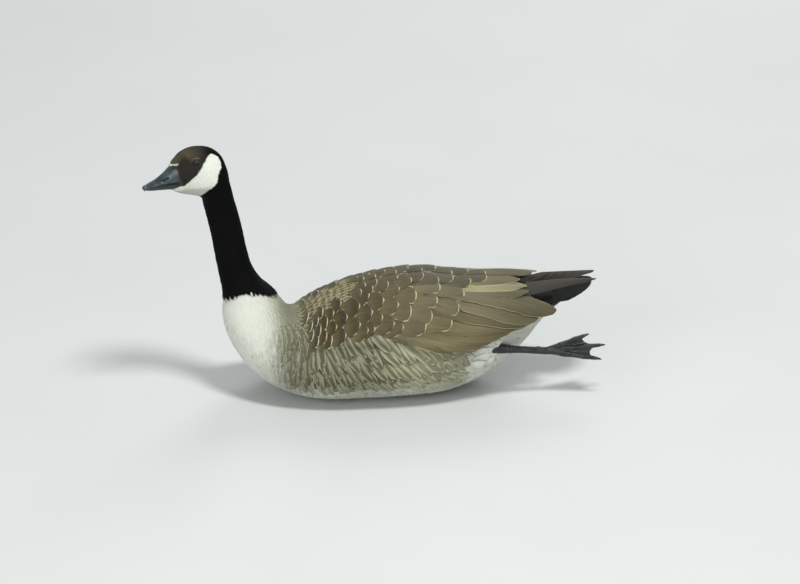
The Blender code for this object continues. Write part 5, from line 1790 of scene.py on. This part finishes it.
def sheet(first, second, thick):
    """Points and faces of the web between two toes, with a shallow curve at its free edge and soft folds."""
    t = np.linspace(0.02, 0.93, 24)
    at = np.linspace(0, 1, len(first))
    a, b = (np.stack([np.interp(t, at, line[:, i]) for i in range(3)], 1) for line in (first, second))
    s = np.linspace(0, 1, 13)
    grid = a[:, None] * (1 - s)[:, None] + b[:, None] * s[:, None]
    dip = (4 * s * (1 - s))[None, :, None] * 0.10 * t[:, None, None]
    grid = grid - (grid - grid[:1]) * dip
    lift = unit(np.cross(b[-1] - b[0], a[-1] - a[0]))
    folds = 0.05 * np.sin(s * np.pi * 3)[None, :] * smooth(t * 1.6)[:, None]
    grid = grid + lift * folds[..., None]
    top, foot = grid + lift * thick / 2, grid - lift * thick / 2
    rows, columns = grid.shape[:2]
    under = rows * columns
    i, j = np.meshgrid(np.arange(rows - 1), np.arange(columns - 1), indexing="ij")
    quad = np.stack([i * columns + j, i * columns + j + 1, (i + 1) * columns + j + 1, (i + 1) * columns + j], -1)
    quad = quad.reshape(-1, 4)
    faces = quad.tolist() + (quad[:, ::-1] + under).tolist()
    rim = list(range(columns)) + [r * columns + columns - 1 for r in range(1, rows)]
    rim += [(rows - 1) * columns + c for c in range(columns - 2, -1, -1)] + [r * columns for r in range(rows - 2, 0, -1)]
    faces += [(q, p, under + p, under + q) for p, q in zip(rim, rim[1:] + rim[:1])]
    return np.concatenate([top.reshape(-1, 3), foot.reshape(-1, 3)]), faces


class GOOSE_OT_legs(GooseOperator):
    """Make both legs with their webbed feet, and the claws"""

    bl_idname = "goose.legs"
    bl_label = "Legs, feet and claws"

    def execute(self, context):
        goose = context.scene.goose
        skin = scaled_leg_finish(tuple(goose.leg))
        claw_finish = bill_finish("claw", tuple(goose.leg), 0.25, 0.3)
        for name, (thigh, ankle, toes_at, heading, pitch, roll, spread, sag) in LEGS.items():
            thigh, ankle, toes_at = (np.array(p, float) for p in (thigh, ankle, toes_at))
            turn = [math.radians(a) for a in (heading, pitch, roll)]

            def placed(points, turn=turn, toes_at=toes_at):
                points = rolled(points, *turn) + toes_at
                points[:, 2] = np.maximum(points[:, 2], 0.05)
                return points

            shank = toes_at - ankle
            line = [thigh, (thigh + ankle) / 2, ankle, *(ankle + shank * part for part in (0.15, 0.5, 0.88, 1.0))]
            parts = [bar(line, LEG_RADII, 28, 90)]
            t = np.linspace(0, 1, 30)
            radii = TOE_RADIUS * np.array([1.2, 1.0, 0.94, 1.06, 0.86, 0.80, 0.94, 0.74, 0.62])
            lines, claws = [], []
            for angle, length in TOES:
                angle = math.radians(angle * spread)
                height = -sag * smooth(t * 2.5) + 0.10 * np.sin(t * np.pi * 3) ** 2 * (1 - t)
                lines.append(np.stack([math.cos(angle) * length * t, math.sin(angle) * length * t, height], 1))
            for toe in lines:
                parts.append(bar(placed(toe), radii, 20, 60))
                ahead = unit(toe[-1] - toe[-3])
                claw = [toe[-1] - ahead * 0.30, toe[-1] + ahead * 0.2, toe[-1] + ahead * 0.55 - (0, 0, 0.05), toe[-1] + ahead * 0.85 - (0, 0, 0.16)]
                claws.append(bar(placed(np.array(claw)), (0.25, 0.22, 0.14, 0.04), 14, 20))
            for first, second in zip(lines, lines[1:]):
                parts.append(sheet(placed(first), placed(second), 0.17))
            hind = placed([(0, 0, 0), (-0.35, 0.35, -0.2), (-0.7, 0.65, -0.32), (-1.2, 1.0, -0.42)])
            parts.append(bar(hind, (0.34, 0.30, 0.26, 0.10), 14, 20))
            leg = joined(f"leg_skin_{name}", parts, skin)
            fused(leg, 0.0009)
            leg.data.materials.clear()
            leg.data.materials.append(skin)
            ready(leg, "leg_skin", f"leg_{name}", f"foot_{name}")
            ready(joined(f"claws_{name}", claws, claw_finish), "leg_skin")
        return {"FINISHED"}


def joined(name, parts, finish):
    """One object from several closed forms, with nothing below the floor."""
    points, faces, base = [], [], 0
    for own, own_faces in parts:
        points.append(own)
        faces += [tuple(base + i for i in face) for face in own_faces]
        base += len(own)
    points = np.concatenate(points)
    points[:, 2] = np.maximum(points[:, 2], 0.02)
    return solid_of(name, points, faces, finish)


def fused(made, size):
    """Melts the parts of an object into one smooth skin."""
    remesh = made.modifiers.new("melt", "REMESH")
    remesh.mode = "VOXEL"
    remesh.voxel_size = size
    ease = made.modifiers.new("ease", "SMOOTH")
    ease.factor, ease.iterations = 0.5, 4
    graph = bpy.context.evaluated_depsgraph_get()
    mesh = bpy.data.meshes.new_from_object(made.evaluated_get(graph))
    made.modifiers.clear()
    made.data = mesh
    mesh.polygons.foreach_set("use_smooth", np.ones(len(mesh.polygons), bool))


# ---- stage ----


class GOOSE_OT_stage(GooseOperator):
    """Set the floor, the soft lights and the camera"""

    bl_idname = "goose.stage"
    bl_label = "Floor, lights and camera"

    def execute(self, context):
        goose = context.scene.goose
        scene = context.scene
        mesh = bpy.data.meshes.new("floor")
        around = [(60 * math.cos(a), 60 * math.sin(a), -0.0004) for a in np.linspace(0, 2 * np.pi, 64, endpoint=False)]
        mesh.from_pydata(around, [], [tuple(range(64))])
        finish = Finish("pale floor", 0.85)
        grain = finish.noise(3.0)
        finish.feed("Base Color", finish.mix(grain, (0.52, 0.53, 0.52), (0.56, 0.57, 0.56)))
        mesh.materials.append(finish.material)
        floor = bpy.data.objects.new("floor", mesh)
        scene.collection.objects.link(floor)
        world = bpy.data.worlds.new("studio")
        world.use_nodes = True
        world.node_tree.nodes["Background"].inputs[0].default_value = (0.80, 0.85, 0.88, 1)
        world.node_tree.nodes["Background"].inputs[1].default_value = 0.55
        scene.world = world
        self.light("key", (0.6, -1.5, 3.9), 0.9, goose.key_power * 0.85)
        self.light("fill", (-2.4, -3.4, 1.6), 2.8, goose.key_power * 0.5)
        self.light("rim", (1.2, 3.0, 2.4), 2.0, goose.key_power * 0.35)
        self.camera(goose, scene)
        scene.view_settings.view_transform = "Standard"
        return {"FINISHED"}

    @staticmethod
    def light(name, place, size, power):
        lamp = bpy.data.lights.new(name, "AREA")
        lamp.shape, lamp.size, lamp.energy = "DISK", size, power
        made = bpy.data.objects.new(name, lamp)
        made.location = place
        made.rotation_euler = (Vector((0, 0, 0.15)) - made.location).to_track_quat("-Z", "Y").to_euler()
        bpy.context.scene.collection.objects.link(made)

    @staticmethod
    def camera(goose, scene):
        azimuth, elevation = math.radians(-6), math.radians(23)
        target = Vector((0.045, 0.0, 0.154))
        away = Vector(
            (math.sin(azimuth) * math.cos(elevation), -math.cos(azimuth) * math.cos(elevation), math.sin(elevation))
        )
        lens = bpy.data.cameras.new("camera")
        lens.sensor_width = 36.0
        lens.lens = 36.0 * goose.camera_distance / 1.2308
        lens.clip_end = 400.0
        made = bpy.data.objects.new("camera", lens)
        made.location = target + away * goose.camera_distance
        made.rotation_euler = (-away).to_track_quat("-Z", "Y").to_euler()
        scene.collection.objects.link(made)
        scene.camera = made


OPERATORS = (
    GOOSE_OT_stage,
    GOOSE_OT_skin,
    GOOSE_OT_body_coat,
    GOOSE_OT_wings,
    GOOSE_OT_tail,
    GOOSE_OT_neck_coat,
    GOOSE_OT_eyes,
    GOOSE_OT_bill,
    GOOSE_OT_legs,
)


class GOOSE_PT_panel(bpy.types.Panel):
    """Lists the bird's settings and the operators that make its pieces"""

    bl_idname = "GOOSE_PT_panel"
    bl_label = "Canada goose"
    bl_space_type = "VIEW_3D"
    bl_region_type = "UI"
    bl_category = "Goose"

    def draw(self, context):
        for name in GooseSettings.__annotations__:
            self.layout.prop(context.scene.goose, name)
        for operator in OPERATORS:
            self.layout.operator(operator.bl_idname)


def register():
    for made in (GooseSettings, *OPERATORS, GOOSE_PT_panel):
        bpy.utils.register_class(made)
    bpy.types.Scene.goose = bpy.props.PointerProperty(type=GooseSettings)


def unregister():
    del bpy.types.Scene.goose
    for made in reversed((GooseSettings, *OPERATORS, GOOSE_PT_panel)):
        bpy.utils.unregister_class(made)


def main():
    register()
    for operator in OPERATORS:
        group, name = operator.bl_idname.split(".")
        getattr(getattr(bpy.ops, group), name)()


if __name__ == "__main__":
    main()
